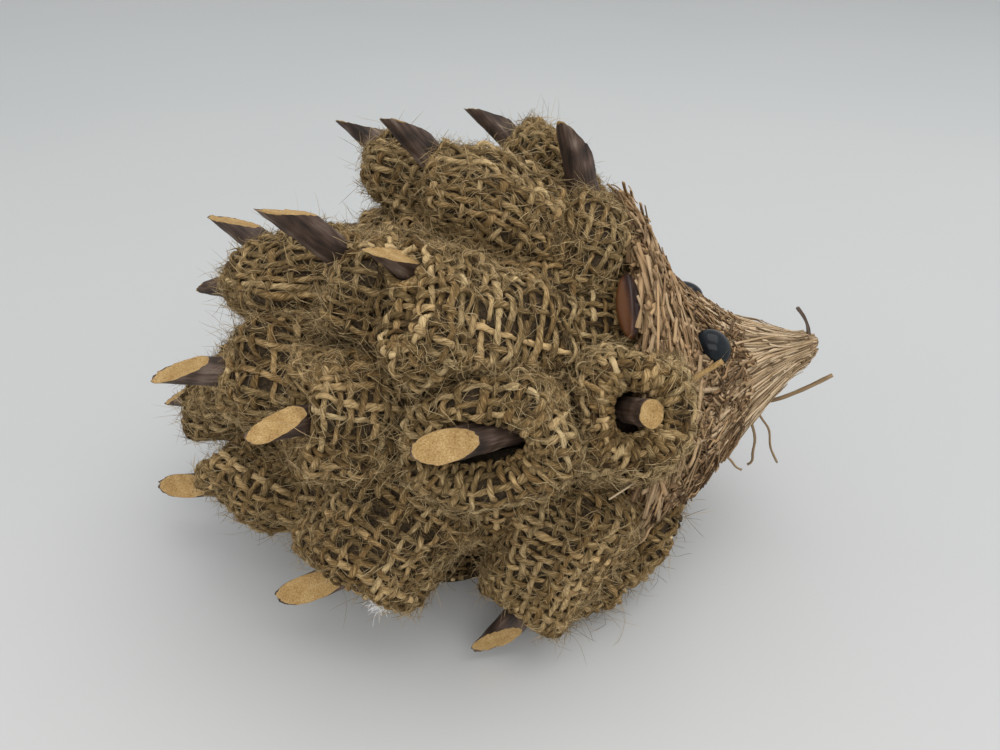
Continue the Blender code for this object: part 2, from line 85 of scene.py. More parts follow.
SPINES = (
    ("01", (-11.6, 14.0, 91.0), (-0.73, 0.37, 0.58), 10.5, (0.0, 0.60, 0.80), 27, 20, 12.0, 9.5, (0.0, -2.0, -3.0)),
    ("02", (1.8, -4.0, 92.8), (-0.62, -0.08, 0.78), 12.5, (0.0, 0.75, 0.66), 27, 24, 13.5, 10.0, (1.0, -3.0, -2.0)),
    ("03", (17.8, 24.0, 89.0), (-0.71, 0.30, 0.64), 12.9, (0.0, 0.70, 0.70), 27, 19, 12.0, 9.5, (0.0, 0.0, 0.0)),
    ("04", (32.8, 6.0, 83.4), (-0.22, 0.09, 0.97), 14.8, (0.60, 0.70, 0.30), 27, (29.0, -15.0, 64.0), 12.0, 7.2, (-1.0, -6.0, -3.0)),
    ("05", (-35.9, -4.0, 75.8), (-0.75, 0.20, 0.62), 10.5, (0.0, 0.50, 0.86), 27, 20, 13.0, 10.0, (0.0, -3.0, -5.0)),
    ("06", (-15.0, -30.0, 85.6), (-0.50, -0.45, 0.74), 14.4, (0.0, 0.40, 0.92), 27, 22, 12.5, 10.0, (0.0, -2.0, -5.0)),
    ("07", (-0.6, -34.0, 83.4), (-0.41, -0.57, 0.71), 10.3, (0.0, -0.05, 1.0), 20, (29.0, -31.0, 63.0), 15.0, 10.0, (3.0, -4.5, -8.0)),
    ("08", (-47.4, 12.0, 57.1), (-0.97, 0.25, 0.06), 10.2, (0.0, 0.85, 0.53), 27, (-28.0, 17.0, 60.0), 12.0, 10.0, (0.0, 0.0, -1.0)),
    ("09", (-37.8, -28.0, 58.2), (-0.89, -0.36, 0.29), 13.4, (0.0, -0.60, 0.80), 27, 25, 13.0, 10.5, (0.0, -0.5, 1.0)),
    ("10", (-58.4, 0.0, 34.0), (-0.96, 0.26, -0.08), 10.1, (0.0, -0.60, 0.80), 27, (-40.0, 0.0, 36.0), 12.5, 11.0, (0.0, 0.0, -1.0)),
    ("11", (-18.1, -48.0, 61.0), (-0.46, -0.78, 0.41), 11.9, (0.0, -0.60, 0.80), 23, 28, 14.0, 10.5, (0.0, -1.0, 1.5)),
    ("12", (15.0, -48.0, 58.5), (-0.79, -0.59, 0.18), 16.2, (0.0, -0.85, 0.53), 27, 17, 12.0, 10.0, (0.0, 0.0, 0.0)),
    ("13", (39.2, -43.0, 59.3), (0.17, -0.84, 0.52), 9.5, (0.8, -0.3, 0.0), 68, (37.5, -27.0, 50.0), 13.0, 12.5, (0.0, 0.0, 0.0)),
    ("14", (-51.0, -15.0, 19.0), (-0.99, -0.05, -0.02), 15.6, (0.0, -0.85, 0.53), 19.5, 30, 13.0, 10.5, (0.0, -1.0, 5.0)),
    ("15", (-16.8, -43.0, 19.0), (-0.91, -0.39, -0.15), 14.3, (0.1, -0.85, 0.50), 20.5, 30, 14.0, 10.5, (2.0, -2.0, 5.5)),
    ("16", (19.8, -45.5, 10.8), (-0.69, -0.56, -0.46), 12.7, (0.35, -0.90, 0.0), 27, (40.0, -34.0, 22.0), 14.5, 10.5, (2.5, -1.0, 6.5)),
    ("17", (-7.0, 38.0, 76.0), (-0.68, 0.53, 0.51), 12.5, (0.0, 0.55, 0.83), 27, 27, 14.0, 10.0, (1.0, 3.0, -5.0)),
    ("18", (14.0, 50.0, 55.0), (-0.72, 0.66, 0.20), 13.0, (0.0, 0.80, 0.60), 27, 24, 13.5, 10.5, (0.0, 0.0, 0.0)),
    ("19", (37.0, 43.0, 60.0), (-0.20, 0.82, 0.52), 11.0, (0.7, 0.3, 0.3), 40, (37.0, 27.0, 51.0), 12.5, 12.0, (0.0, 0.0, 0.0)),
    ("20", (-21.0, 45.0, 56.0), (-0.72, 0.66, 0.20), 13.0, (0.0, 0.75, 0.66), 27, 29, 14.0, 10.5, (0.0, 0.0, 0.0)),
    ("21", (-41.0, 27.0, 45.0), (-0.86, 0.48, 0.14), 13.0, (0.0, 0.80, 0.60), 27, 26, 12.5, 10.5, (0.0, 0.0, 0.0)),
    ("22", (-16.0, 44.0, 19.0), (-0.84, 0.52, -0.10), 13.5, (0.0, 0.85, 0.50), 27, 30, 14.0, 10.5, (2.0, 2.0, 5.0)),
    ("23", (20.0, 46.0, 15.0), (-0.78, 0.58, -0.20), 13.5, (0.0, 0.90, 0.40), 27, (40.0, 34.0, 23.0), 14.5, 10.5, (2.5, 1.0, 5.5)),
    ("24", (-49.0, 19.0, 18.5), (-0.96, 0.26, -0.05), 13.0, (0.0, 0.85, 0.50), 27, 27, 12.5, 10.5, (0.0, 1.0, 4.0)),
)

# how each pouch's cloth lies: skew of the yarns round the pouch (turns over its length), half gap of the slit,
# how much further the hood's upper lip reaches, roll radius of the lip, wrinkle height
CLOTH = {
    "01": (0.04, 1.2, 1.5, 2.2, 0.7), "02": (0.03, 1.3, 1.5, 2.4, 0.9), "03": (-0.03, 1.4, 0.5, 2.4, 0.8),
    "04": (0.16, 1.0, 0.0, 2.0, 0.9), "05": (0.08, 1.2, 1.0, 2.2, 0.8), "06": (0.12, 1.0, 1.0, 2.2, 1.0),
    "07": (0.02, 0.9, 0.0, 2.2, 0.9), "08": (-0.06, 1.4, 0.5, 2.2, 0.7), "09": (0.14, 1.2, 1.0, 2.4, 1.0),
    "10": (0.05, 1.5, 0.5, 2.4, 0.7), "11": (0.15, 1.2, 1.5, 2.4, 1.0), "12": (0.06, 3.9, 1.5, 3.2, 0.5),
    "13": (0.05, 3.7, 0.0, 3.6, 0.6), "14": (0.08, 1.3, 2.5, 2.4, 0.9), "15": (0.00, 2.6, 2.0, 2.6, 0.6),
    "16": (0.00, 2.8, 0.5, 2.6, 0.6), "17": (-0.08, 1.2, 1.0, 2.4, 0.9), "18": (-0.10, 1.4, 1.0, 2.6, 0.9),
    "19": (0.06, 2.4, 0.0, 3.0, 0.8), "20": (-0.08, 1.3, 1.0, 2.4, 1.0), "21": (0.08, 1.3, 1.0, 2.4, 0.9),
    "22": (0.03, 1.3, 2.0, 2.4, 0.9), "23": (-0.03, 1.3, 2.0, 2.4, 0.9), "24": (0.06, 1.3, 1.5, 2.4, 0.9),
}
PITCH = 2.35         # yarn to yarn
YARN_R = 0.50
WEAVE = 0.48          # how far a yarn swings either side of the cloth's middle


# pouches whose mouth looks another way than their twig points: the middle of the mouth, where it faces,
# the side of the hood, root, half width and half thickness
LOOK = {
    "12": dict(lip=(12.0, -48.5, 56.5), face=(-0.22, -0.95, 0.20), up=(-0.30, 0.15, 0.95), root=(25.0, -25.0, 51.0), a=15.5, b=12.2, taper=0.04),
    "15": dict(lip=(-12.5, -43.5, 22.5), face=(-0.50, -0.66, -0.56), up=(-0.10, -0.62, 0.78), root=(2.0, -30.0, 40.0), a=15.5, b=10.5, taper=0.14),
    "16": dict(lip=(20.5, -44.0, 12.5), face=(-0.42, -0.50, -0.76), up=(-0.30, -0.66, 0.69), root=(32.0, -30.0, 38.0), a=16.5, b=10.5, taper=0.52),
    "13": dict(lip=(38.5, -40.5, 57.0), face=(0.05, -0.85, 0.53), up=(-1.0, 0.0, 0.0), root=(36.5, -22.0, 46.0), a=15.5, b=15.0),
}

LIP_BACK = {"09": 6.0, "11": 5.5, "14": 7.5, "10": 5.0, "06": 5.5, "07": -3.2, "04": 9.0}
TWIG_SIZE = {"13": 2.5, "04": 3.4, "11": 2.6}
TURN = {"07": (0, -0.27, 0), "01": (0, -0.42, 0.1), "02": (0, -0.42, 0.1), "03": (0, -0.45, 0.1), "05": (0, -0.40, 0.1), "06": (0, -0.36, 0.0), "09": (0, 0.62, 0.1), "10": (0, 0.5, 0.1), "11": (0, 0.50, 0.1)}

# ---------------------------------------------------------------- small maths
def unit(v):
    return v / np.maximum(np.linalg.norm(v, axis=-1, keepdims=True), 1e-12)


def vec(*v):
    return np.array(v, float)


def smooth(t):
    t = np.clip(t, 0, 1)
    return t * t * (3 - 2 * t)


def table(points, x):
    return np.interp(x, points[:, 0], points[:, 1])


class Waves:
    """A smooth field of space from seeded waves, about -1 to 1, with features of that size in mm."""

    def __init__(self, seed, size, count=18):
        r = np.random.default_rng(seed)
        self.k = unit(r.normal(size=(count, 3))) * (TAU / size) * r.uniform(0.6, 1.6, (count, 1))
        self.p = r.uniform(0, TAU, count)
        self.a = math.sqrt(2.0 / count)

    def __call__(self, p):
        return np.sin(p @ self.k.T + self.p).sum(-1) * self.a


def wander(rng, rows, n, knots, size):
    """rows smooth random lines of n values each."""
    coarse = rng.normal(size=(rows, knots)) * size
    x = np.linspace(0, knots - 1.001, n)
    i = x.astype(int)
    f = smooth(x - i)
    return coarse[:, i] * (1 - f) + coarse[:, np.minimum(i + 1, knots - 1)] * f


# ---------------------------------------------------------------- mesh batches
class Batch:
    def __init__(self):
        self.v, self.l, self.z, self.uv, self.tint, self.m, self.n = [], [], [], [], [], [], 0

    def add(self, v, loops, sizes, uv=None, tint=None, mat=0):
        v = np.asarray(v, float).reshape(-1, 3)
        loops, sizes = np.asarray(loops).ravel(), np.asarray(sizes).ravel()
        self.v.append(v)
        self.l.append(loops + self.n)
        self.z.append(sizes)
        self.uv.append(np.zeros((len(loops), 2)) if uv is None else np.asarray(uv, float).reshape(-1, 2))
        t = np.tile([0.5, 0.5, 0.5, 1.0], (len(v), 1)) if tint is None else np.asarray(tint, float).reshape(-1, 4)
        self.tint.append(t)
        self.m.append(np.full(len(sizes), mat) if np.isscalar(mat) else np.asarray(mat))
        self.n += len(v)

    def build(self, name, materials):
        v, l, z = np.concatenate(self.v), np.concatenate(self.l), np.concatenate(self.z)
        mesh = bpy.data.meshes.new(name)
        mesh.vertices.add(len(v))
        mesh.vertices.foreach_set("co", (v * MM).astype(np.float32).ravel())
        mesh.loops.add(len(l))
        mesh.loops.foreach_set("vertex_index", l.astype(np.int32))
        mesh.polygons.add(len(z))
        mesh.polygons.foreach_set("loop_start", np.concatenate([[0], np.cumsum(z)[:-1]]).astype(np.int32))
        mesh.update(calc_edges=True)
        mesh.polygons.foreach_set("use_smooth", np.ones(len(z), bool))
        mesh.polygons.foreach_set("material_index", np.concatenate(self.m).astype(np.int32))
        layer = mesh.uv_layers.new(name="along")
        layer.data.foreach_set("uv", np.concatenate(self.uv).astype(np.float32).ravel())
        tint = mesh.color_attributes.new("tint", "FLOAT_COLOR", "POINT")
        tint.data.foreach_set("color", np.concatenate(self.tint).astype(np.float32).ravel())
        for m in materials:
            mesh.materials.append(m)
        mesh.validate()
        obj = bpy.data.objects.new(name, mesh)
        bpy.context.scene.collection.objects.link(obj)
        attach(obj, "root")
        return obj


def quads_of(m, n, sides, wrap=True):
    """Vertex indices of the quads of m tubes with n rings of that many sides."""
    i = np.arange(n - 1)[None, :, None]
    j = np.arange(sides)[None, None, :]
    base = (np.arange(m) * n * sides)[:, None, None]
    j2 = (j + 1) % sides
    a = base + i * sides + j
    b = base + i * sides + j2
    c = base + (i + 1) * sides + j2
    d = base + (i + 1) * sides + j
    return np.stack([a, b, c, d], -1).reshape(-1)


def tubes(batch, P, R, N=None, sides=6, flat=(1.0, 1.0), ply=0.0, lay=5.0, tint=None, mat=0, rng=None, keep=None, caps=True, pointed=False):
    """Strands through the points P (m, n, 3), with radii R (m, n). N is the direction that flat[0] squeezes."""
    m, n, _ = P.shape
    R = np.broadcast_to(R, (m, n))
    T = unit(np.gradient(P, axis=1))
    if N is None:
        first = T[:, :1]
        ref = np.where(np.abs(first[..., 2:3]) < 0.8, vec(0, 0, 1), vec(1, 0, 0))
        N = np.broadcast_to(ref, P.shape)
    N = unit(N - T * (N * T).sum(-1, keepdims=True))
    B = np.cross(T, N)
    th = TAU * np.arange(sides) / sides
    s = np.concatenate([np.zeros((m, 1)), np.cumsum(np.linalg.norm(np.diff(P, axis=1), axis=-1), axis=1)], 1)
    start = (rng.uniform(0, 900, (m, 1)) if rng is not None else np.zeros((m, 1)))
    rad = R[..., None] * (1 + ply * np.cos(2 * (th - TAU * (s + start)[..., None] / lay)))
    V = P[:, :, None] + (rad * np.cos(th) * flat[0])[..., None] * N[:, :, None] + (rad * np.sin(th) * flat[1])[..., None] * B[:, :, None]
    loops = quads_of(m, n, sides).reshape(m, n - 1, sides, 4)
    su = s + start
    u0, u1 = su[:, :-1], su[:, 1:]
    v0 = np.arange(sides) / sides
    uv = np.empty((m, n - 1, sides, 4, 2))
    uv[..., 0, 0] = uv[..., 1, 0] = u0[..., None]
    uv[..., 2, 0] = uv[..., 3, 0] = u1[..., None]
    uv[..., 0, 1] = uv[..., 3, 1] = v0
    uv[..., 1, 1] = uv[..., 2, 1] = v0 + 1.0 / sides
    full = tint is not None
    if full:
        t = np.broadcast_to(tint, (m, n, 4))[:, :, None].repeat(sides, 2).reshape(-1, 4)
    else:
        t = None
    mask = np.ones((m, n - 1), bool) if keep is None else keep
    L = loops[mask].reshape(-1)
    U = uv[mask].reshape(-1, 2)
    sizes = np.full(len(L) // 4, 4)
    if caps:
        base = (np.arange(m) * n * sides)[:, None]
        first = (base + np.arange(sides)[::-1])[mask[:, 0]]
        last = (base + (n - 1) * sides + np.arange(sides))[mask[:, -1]]
        L = np.concatenate([L, first.ravel(), last.ravel()])
        extra = len(first) + len(last)
        U = np.concatenate([U, np.concatenate([np.repeat(np.stack([start[mask[:, 0], 0], start[mask[:, 0], 0] * 0], -1), sides, 0), np.repeat(np.stack([su[mask[:, -1], -1], su[mask[:, -1], -1] * 0], -1), sides, 0)])])
        sizes = np.concatenate([sizes, np.full(extra, sides)])
    batch.add(V.reshape(-1, 3), L, sizes, U, t, mat)


def sheet_mesh(batch, G, wrap=False, tint=None, mat=0, flip=False, scale=1.0):
    """A grid of points (nv, nu, 3) as one sheet."""
    nv, nu, _ = G.shape
    i = np.arange(nv - 1)[:, None]
    j = np.arange(nu if wrap else nu - 1)[None]
    j2 = (j + 1) % nu
    a, b, c, d = i * nu + j, i * nu + j2, (i + 1) * nu + j2, (i + 1) * nu + j
    q = np.stack([a, d, c, b] if flip else [a, b, c, d], -1)
    uvq = np.stack([np.broadcast_to(x, q.shape[:2]) for x in (i, i, i + 1, i + 1)], -1), np.stack([np.broadcast_to(x, q.shape[:2]) for x in (j, j + 1, j + 1, j)], -1)
    uv = np.stack([uvq[0] * scale, uvq[1] * scale], -1)
    batch.add(G.reshape(-1, 3), q.ravel(), np.full(q.shape[0] * q.shape[1], 4), uv, tint, mat)


# ---------------------------------------------------------------- materials
def shader(name, roughness=0.8, **sockets):
    mat = bpy.data.materials.new(name)
    mat.use_nodes = True
    tree = mat.node_tree
    bsdf = tree.nodes["Principled BSDF"]
    bsdf.inputs["Roughness"].default_value = roughness
    for key, value in sockets.items():
        bsdf.inputs[key.replace("_", " ")].default_value = value
    return mat, tree, bsdf


def node(tree, kind, **props):
    n = tree.nodes.new(kind)
    for key, value in props.items():
        setattr(n, key, value)
    return n


def maths(tree, op, a, b=None, c=None):
    n = node(tree, "ShaderNodeMath", operation=op)
    for k, x in enumerate((a, b, c)):
        if x is None:
            continue
        if isinstance(x, (int, float)):
            n.inputs[k].default_value = x
        else:
            tree.links.new(x, n.inputs[k])
    return n.outputs[0]


def ramp(tree, value, stops):
    n = node(tree, "ShaderNodeValToRGB")
    e = n.color_ramp.elements
    while len(e) < len(stops):
        e.new(0.5)
    for k, (at, colour) in enumerate(stops):
        e[k].position = at
        e[k].color = (*colour, 1.0)
    tree.links.new(value, n.inputs[0])
    return n.outputs[0]


def noise(tree, vector, scale, detail=3.0, rough=0.55):
    n = node(tree, "ShaderNodeTexNoise")
    n.inputs["Scale"].default_value = scale
    n.inputs["Detail"].default_value = detail
    n.inputs["Roughness"].default_value = rough
    tree.links.new(vector, n.inputs["Vector"])
    return n.outputs[0]


def mix(tree, factor, a, b, blend="MIX"):
    n = node(tree, "ShaderNodeMix", data_type="RGBA", blend_type=blend)
    n.clamp_factor = True
    for socket, x in ((n.inputs[0], factor), (n.inputs[6], a), (n.inputs[7], b)):
        if isinstance(x, (int, float)):
            socket.default_value = x
        elif isinstance(x, tuple):
            socket.default_value = (*x, 1.0)
        else:
            tree.links.new(x, socket)
    return n.outputs[2]


def bump(tree, bsdf, height, strength, distance):
    n = node(tree, "ShaderNodeBump")
    n.inputs["Strength"].default_value = strength
    n.inputs["Distance"].default_value = distance
    tree.links.new(height, n.inputs["Height"])
    tree.links.new(n.outputs[0], bsdf.inputs["Normal"])


def strand_vector(tree, lay, around, along):
    """Coordinates wound round a strand: fine across it and long down it, with no seam."""
    uv = node(tree, "ShaderNodeUVMap")
    uv.uv_map = "along"
    split = node(tree, "ShaderNodeSeparateXYZ")
    tree.links.new(uv.outputs[0], split.inputs[0])
    s, v = split.outputs[0], split.outputs[1]
    turn = maths(tree, "MULTIPLY_ADD", v, TAU, maths(tree, "MULTIPLY", s, TAU / lay if lay else 0.0))
    c = maths(tree, "MULTIPLY", maths(tree, "COSINE", turn), around)
    d = maths(tree, "MULTIPLY", maths(tree, "SINE", turn), around)
    join = node(tree, "ShaderNodeCombineXYZ")
    tree.links.new(c, join.inputs[0])
    tree.links.new(d, join.inputs[1])
    tree.links.new(maths(tree, "MULTIPLY", s, along), join.inputs[2])
    return join.outputs[0]


def tint_of(tree):
    a = node(tree, "ShaderNodeAttribute", attribute_name="tint")
    s = node(tree, "ShaderNodeSeparateColor")
    tree.links.new(a.outputs["Color"], s.inputs[0])
    return s.outputs


def strand_material(name, lay, dark, mid, light, warm, around=1.6, along=0.16, roughness=0.85, bump_mm=0.12, sheen=0.0):
    """A twisted or straight bundle of plant fibres: streaks down the strand, a tone for each strand and warm patches."""
    mat, tree, bsdf = shader(name, roughness)
    bsdf.inputs["Sheen Weight"].default_value = sheen
    bsdf.inputs["Specular IOR Level"].default_value = 0.25
    vector = strand_vector(tree, lay, around, along)
    fine = noise(tree, vector, 2.2, 4.0, 0.65)
    broad = noise(tree, vector, 0.55, 2.0, 0.5)
    t = tint_of(tree)
    tone = maths(tree, "ADD", maths(tree, "MULTIPLY", fine, 0.75), maths(tree, "MULTIPLY", broad, 0.35))
    tone = maths(tree, "ADD", tone, maths(tree, "MULTIPLY_ADD", t[0], 0.55, -0.32))
    colour = ramp(tree, tone, ((0.30, dark), (0.52, mid), (0.74, light)))
    colour = mix(tree, maths(tree, "MULTIPLY", t[1], 0.5), colour, warm, "MULTIPLY")
    tree.links.new(colour, bsdf.inputs["Base Color"])
    bump(tree, bsdf, fine, 0.9, bump_mm * MM)
    return mat


JUTE = strand_material("burlap_yarn", 6.5, (0.031, 0.018, 0.006), (0.188, 0.125, 0.050), (0.60, 0.452, 0.240), (1.0, 0.78, 0.52), around=0.95, along=0.30, bump_mm=0.35)
FUZZ = strand_material("burlap_fuzz", 40.0, (0.083, 0.056, 0.025), (0.222, 0.156, 0.073), (0.53, 0.410, 0.228), (1.0, 0.84, 0.62), bump_mm=0.0, roughness=0.7)
STRAW = strand_material("straw", 0.0, (0.115, 0.071, 0.035), (0.300, 0.211, 0.120), (0.57, 0.445, 0.297), (1.0, 0.84, 0.64), around=0.7, along=0.06, roughness=0.6, bump_mm=0.12)
CHIP = strand_material("straw_ends", 0.0, (0.068, 0.037, 0.016), (0.198, 0.125, 0.063), (0.43, 0.305, 0.176), (1.0, 0.79, 0.55), around=0.7, along=0.12, roughness=0.75, bump_mm=0.12)


def ground_material(name, dark, light, size):
    mat, tree, bsdf = shader(name, 0.95)
    co = node(tree, "ShaderNodeTexCoord").outputs["Object"]
    n = noise(tree, co, size, 5.0, 0.7)
    tree.links.new(ramp(tree, n, ((0.35, dark), (0.7, light))), bsdf.inputs["Base Color"])
    bump(tree, bsdf, n, 1.0, 0.0006)
    return mat


# the dark sheet under the yarns of the pouches, body, hems and base patch: the fibres behind the weave, painted darker
# as the shade in the holes between the yarns
LINING_AND_SHADE = ground_material("burlap_ground_and_shade", (0.017, 0.010, 0.004), (0.095, 0.060, 0.025), 1500.0)
# the straw bundle's core under the loose straws: straw colour, darkened as painted shade in the gaps between the straws
UNDER_AND_SHADE = ground_material("straw_ground_and_shade", (0.044, 0.024, 0.010), (0.185, 0.118, 0.062), 900.0)
FILLING = ground_material("filling_fibre", (0.60, 0.59, 0.55), (0.86, 0.85, 0.82), 300.0)


def bark_material():
    mat, tree, bsdf = shader("twig_bark", 0.62)
    bsdf.inputs["Specular IOR Level"].default_value = 0.35
    vector = strand_vector(tree, 0.0, 2.3, 0.10)
    fine = noise(tree, vector, 1.7, 4.0, 0.6)
    broad = noise(tree, vector, 0.5, 2.0, 0.5)
    t = tint_of(tree)
    tone = maths(tree, "ADD", maths(tree, "MULTIPLY", fine, 0.7), maths(tree, "MULTIPLY", broad, 0.4))
    tone = maths(tree, "ADD", tone, maths(tree, "MULTIPLY_ADD", t[0], 0.4, -0.25))
    colour = ramp(tree, tone, ((0.30, (0.016, 0.009, 0.006)), (0.50, (0.061, 0.037, 0.026)), (0.66, (0.127, 0.089, 0.068)), (0.85, (0.27, 0.215, 0.17))))
    tree.links.new(colour, bsdf.inputs["Base Color"])
    bump(tree, bsdf, fine, 1.0, 0.00025)
    return mat


def wood_material():
    """The slanted cut: pale pith with open pores drawn out along the cut, and a browner rim."""
    mat, tree, bsdf = shader("cut_wood", 0.8)
    bsdf.inputs["Specular IOR Level"].default_value = 0.2
    co = node(tree, "ShaderNodeTexCoord").outputs["Object"]
    grain = noise(tree, co, 3300.0, 3.0, 0.75)
    patch = noise(tree, co, 420.0, 2.0, 0.5)
    t = tint_of(tree)
    tone = maths(tree, "ADD", maths(tree, "MULTIPLY_ADD", grain, 1.25, -0.14), maths(tree, "MULTIPLY_ADD", patch, 0.45, -0.20))
    colour = ramp(tree, tone, ((0.20, (0.18, 0.095, 0.032)), (0.42, (0.315, 0.190, 0.068)), (0.66, (0.44, 0.298, 0.128)), (0.88, (0.60, 0.455, 0.25))))
    rim = mix(tree, t[0], colour, (0.36, 0.24, 0.11))
    tree.links.new(rim, bsdf.inputs["Base Color"])
    bump(tree, bsdf, grain, 1.0, 0.00012)
    return mat


BARK, WOOD = bark_material(), wood_material()


# ---------------------------------------------------------------- the pouches
def off_axis(p):
    return np.hypot(p[..., 1], p[..., 2] - AXIS_Z)


class Spine:
    def __init__(self, row):
        self.name, mouth, way, self.out, facing, self.slant, root, self.a, self.b, shift = row
        self.skew, self.gap, self.over, self.roll, self.wrinkle = CLOTH[self.name]
        self.seed = 100 + int(self.name)
        self.mouth, self.way = vec(*mouth), unit(vec(*way))
        facing = vec(*facing)
        self.facing = unit(facing - self.way * facing.dot(self.way))
        self.radial = unit(vec(0.0, mouth[1], mouth[2] - AXIS_Z))
        if isinstance(root, tuple):
            cad_root = vec(*root)
        else:
            x = self.mouth[0] + root
            cad_root = vec(x, 0, AXIS_Z) + self.radial * (table(BODY, x) + 0.35 * self.b)
        look = LOOK.get(self.name, {})
        self.a, self.b = look.get("a", self.a), look.get("b", self.b)
        self.taper = look.get("taper", 0.34)
        if "root" in look:
            cad_root = vec(*look["root"])
        self.lip = vec(*look["lip"]) if "lip" in look else self.mouth - self.way * LIP_BACK.get(self.name, 4.5) + vec(*shift)
        face = unit(vec(*look["face"])) if "face" in look else self.way
        length = np.linalg.norm(self.lip - cad_root)
        self.knee = self.lip - face * min(length * 0.5, 14.0)
        least = table(BODY, self.knee[0]) + 0.6 * self.b
        if "lip" not in look and off_axis(self.knee) < least:
            out = unit(vec(0, self.knee[1], self.knee[2] - AXIS_Z))
            self.knee = self.knee + out * (least - off_axis(self.knee))
        # the cloth's root dives into the body, so that the pouch rises out of the skin as a pleat
        self.root = cad_root.copy()
        away = unit(vec(0, self.root[1], self.root[2] - AXIS_Z))
        deep = table(BODY, min(self.root[0], 43)) - 0.75 * self.b
        self.root = vec(self.root[0], 0, AXIS_Z) + away * min(off_axis(self.root), deep)
        straight = [cad_root * (1 - t) ** 2 + self.knee * 2 * t * (1 - t) + self.lip * t * t for t in (0.0, 0.5, 1.0)]
        tans = [unit((self.knee - cad_root) * (1 - t) + (self.lip - self.knee) * t) for t in (0.0, 0.5, 1.0)]
        steep = max(abs(self.radial.dot(x)) for x in tans)
        self.upward = vec(*look["up"]) if "up" in look else vec(-1, 0, 0) if steep > 0.85 else self.radial
        self.sink = TWIG_SINK
        self.tt = np.linspace(0, 1, 22)
        self.C, self.T, self.S, self.U = self.frames(self.tt)

    def frames(self, t):
        t = np.asarray(t)[..., None]
        C = self.root * (1 - t) ** 2 + self.knee * 2 * t * (1 - t) + self.lip * t * t
        T = unit((self.knee - self.root) * (1 - t) + (self.lip - self.knee) * t)
        U = unit(self.upward - T * (T * self.upward).sum(-1, keepdims=True))
        return C, T, unit(np.cross(T, U)), U

    def size(self, t):
        taper = 1.0 + 0.235 * self.taper - self.taper * t
        fall = 1 - 0.25 * smooth((0.25 - t) / 0.25)
        return self.a * taper * fall, self.b * taper * fall

    def rho(self, P):
        """How far out in this pouch's section each point is (1 at its skin), and where along it."""
        d2 = ((P[:, None] - self.C) ** 2).sum(-1)
        k = d2.argmin(1)
        D = P - self.C[k]
        x, y, e = (D * self.S[k]).sum(-1), (D * self.U[k]).sum(-1), (D * self.T[k]).sum(-1)
        a, b = self.size(self.tt[k])
        step = np.linalg.norm(self.C[1] - self.C[0])
        e = np.maximum(np.abs(e) - step, 0)
        return np.sqrt((x / a) ** 2 + (y / b) ** 2 + (e / (0.7 * b)) ** 2), self.tt[k]


spines = [Spine(row) for row in SPINES]
NU, NT, NQ, NI = 96, 60, 16, 6


def power(x, p):
    return np.sign(x) * np.abs(x) ** p


def section(spine, t, phi):
    """The pouch's outer skin before its neighbours press on it, for t (n,) and phi (m,)."""
    C, T, S, U = spine.frames(t)
    a, b = spine.size(t)
    cx, cy = power(np.cos(phi), 0.78), power(np.sin(phi), 0.78)
    D = S[:, None] * (a[:, None] * cx)[..., None] + U[:, None] * (b[:, None] * cy)[..., None]
    D = D + T[:, None] * (spine.over * smooth((t - 0.5) / 0.5)[:, None] * (0.5 + 0.5 * np.sin(phi)))[..., None]
    return C[:, None], D


def squeeze(i):
    """The share of its free size that pouch i keeps at each t and phi, where the pouches beside it press on it."""
    me = spines[i]
    t, phi = np.linspace(0, 1, 26), -TAU * np.arange(40) / 40
    C, D = section(me, t, phi)
    shape = D.shape[:2]
    C = np.broadcast_to(C, D.shape).reshape(-1, 3)
    D = D.reshape(-1, 3)
    tt = np.broadcast_to(t[:, None], shape).ravel()
    near = [o for j, o in enumerate(spines) if j != i and np.linalg.norm(me.C[:, None] - o.C[None], axis=-1).min() < (me.a + o.a) * 1.1]

    def room(s):
        P = C + D * s[:, None]
        least = np.full(len(P), 9.0)
        for o in near:
            r, to = o.rho(P)
            least = np.minimum(least, r - 0.32 * to)
        return least - (s - 0.32 * tt) - 0.19

    one = np.ones(len(D))
    free = room(one) >= 0
    lo, hi = one * 0.2, one.copy()
    for _ in range(8):
        mid = (lo + hi) / 2
        ok = room(mid) >= 0
        lo, hi = np.where(ok, mid, lo), np.where(ok, hi, mid)
    s = np.where(free, 1.0, lo).reshape(shape)
    for _ in range(2):
        s = (s * 2 + np.roll(s, 1, 1) + np.roll(s, -1, 1)) / 4
        s[1:-1] = (s[1:-1] * 2 + s[:-2] + s[2:]) / 4
    return s


def resample(F, nv, nu):
    """A grid that wraps in its second direction, at another resolution."""
    v = np.linspace(0, F.shape[0] - 1, nv)
    u = np.arange(nu) * F.shape[1] / nu
    i, j = np.minimum(v.astype(int), F.shape[0] - 2), u.astype(int)
    fv, fu = (v - i)[:, None], (u - j)[None]
    j2 = (j + 1) % F.shape[1]
    return (F[i][:, j] * (1 - fv) + F[i + 1][:, j] * fv) * (1 - fu) + (F[i][:, j2] * (1 - fv) + F[i + 1][:, j2] * fv) * fu


def normals(G, wrap=True):
    if wrap:
        du = np.roll(G, -1, 1) - np.roll(G, 1, 1)
    else:
        du = np.gradient(G, axis=1)
    dv = np.gradient(G, axis=0)
    return unit(np.cross(du, dv))


def clear_of_twigs(P, room):
    for o in spines:
        D = P - o.mouth
        along = (D * o.way).sum(-1)
        near = (along > -o.sink) & (along < o.out + 1)
        R = D - along[..., None] * o.way
        r = np.linalg.norm(R, axis=-1)
        fade = smooth((along + o.sink) / 4) * room
        push = np.where(near & (r < fade), fade - r, 0.0)
        P = P + unit(R) * push[..., None]
    return P


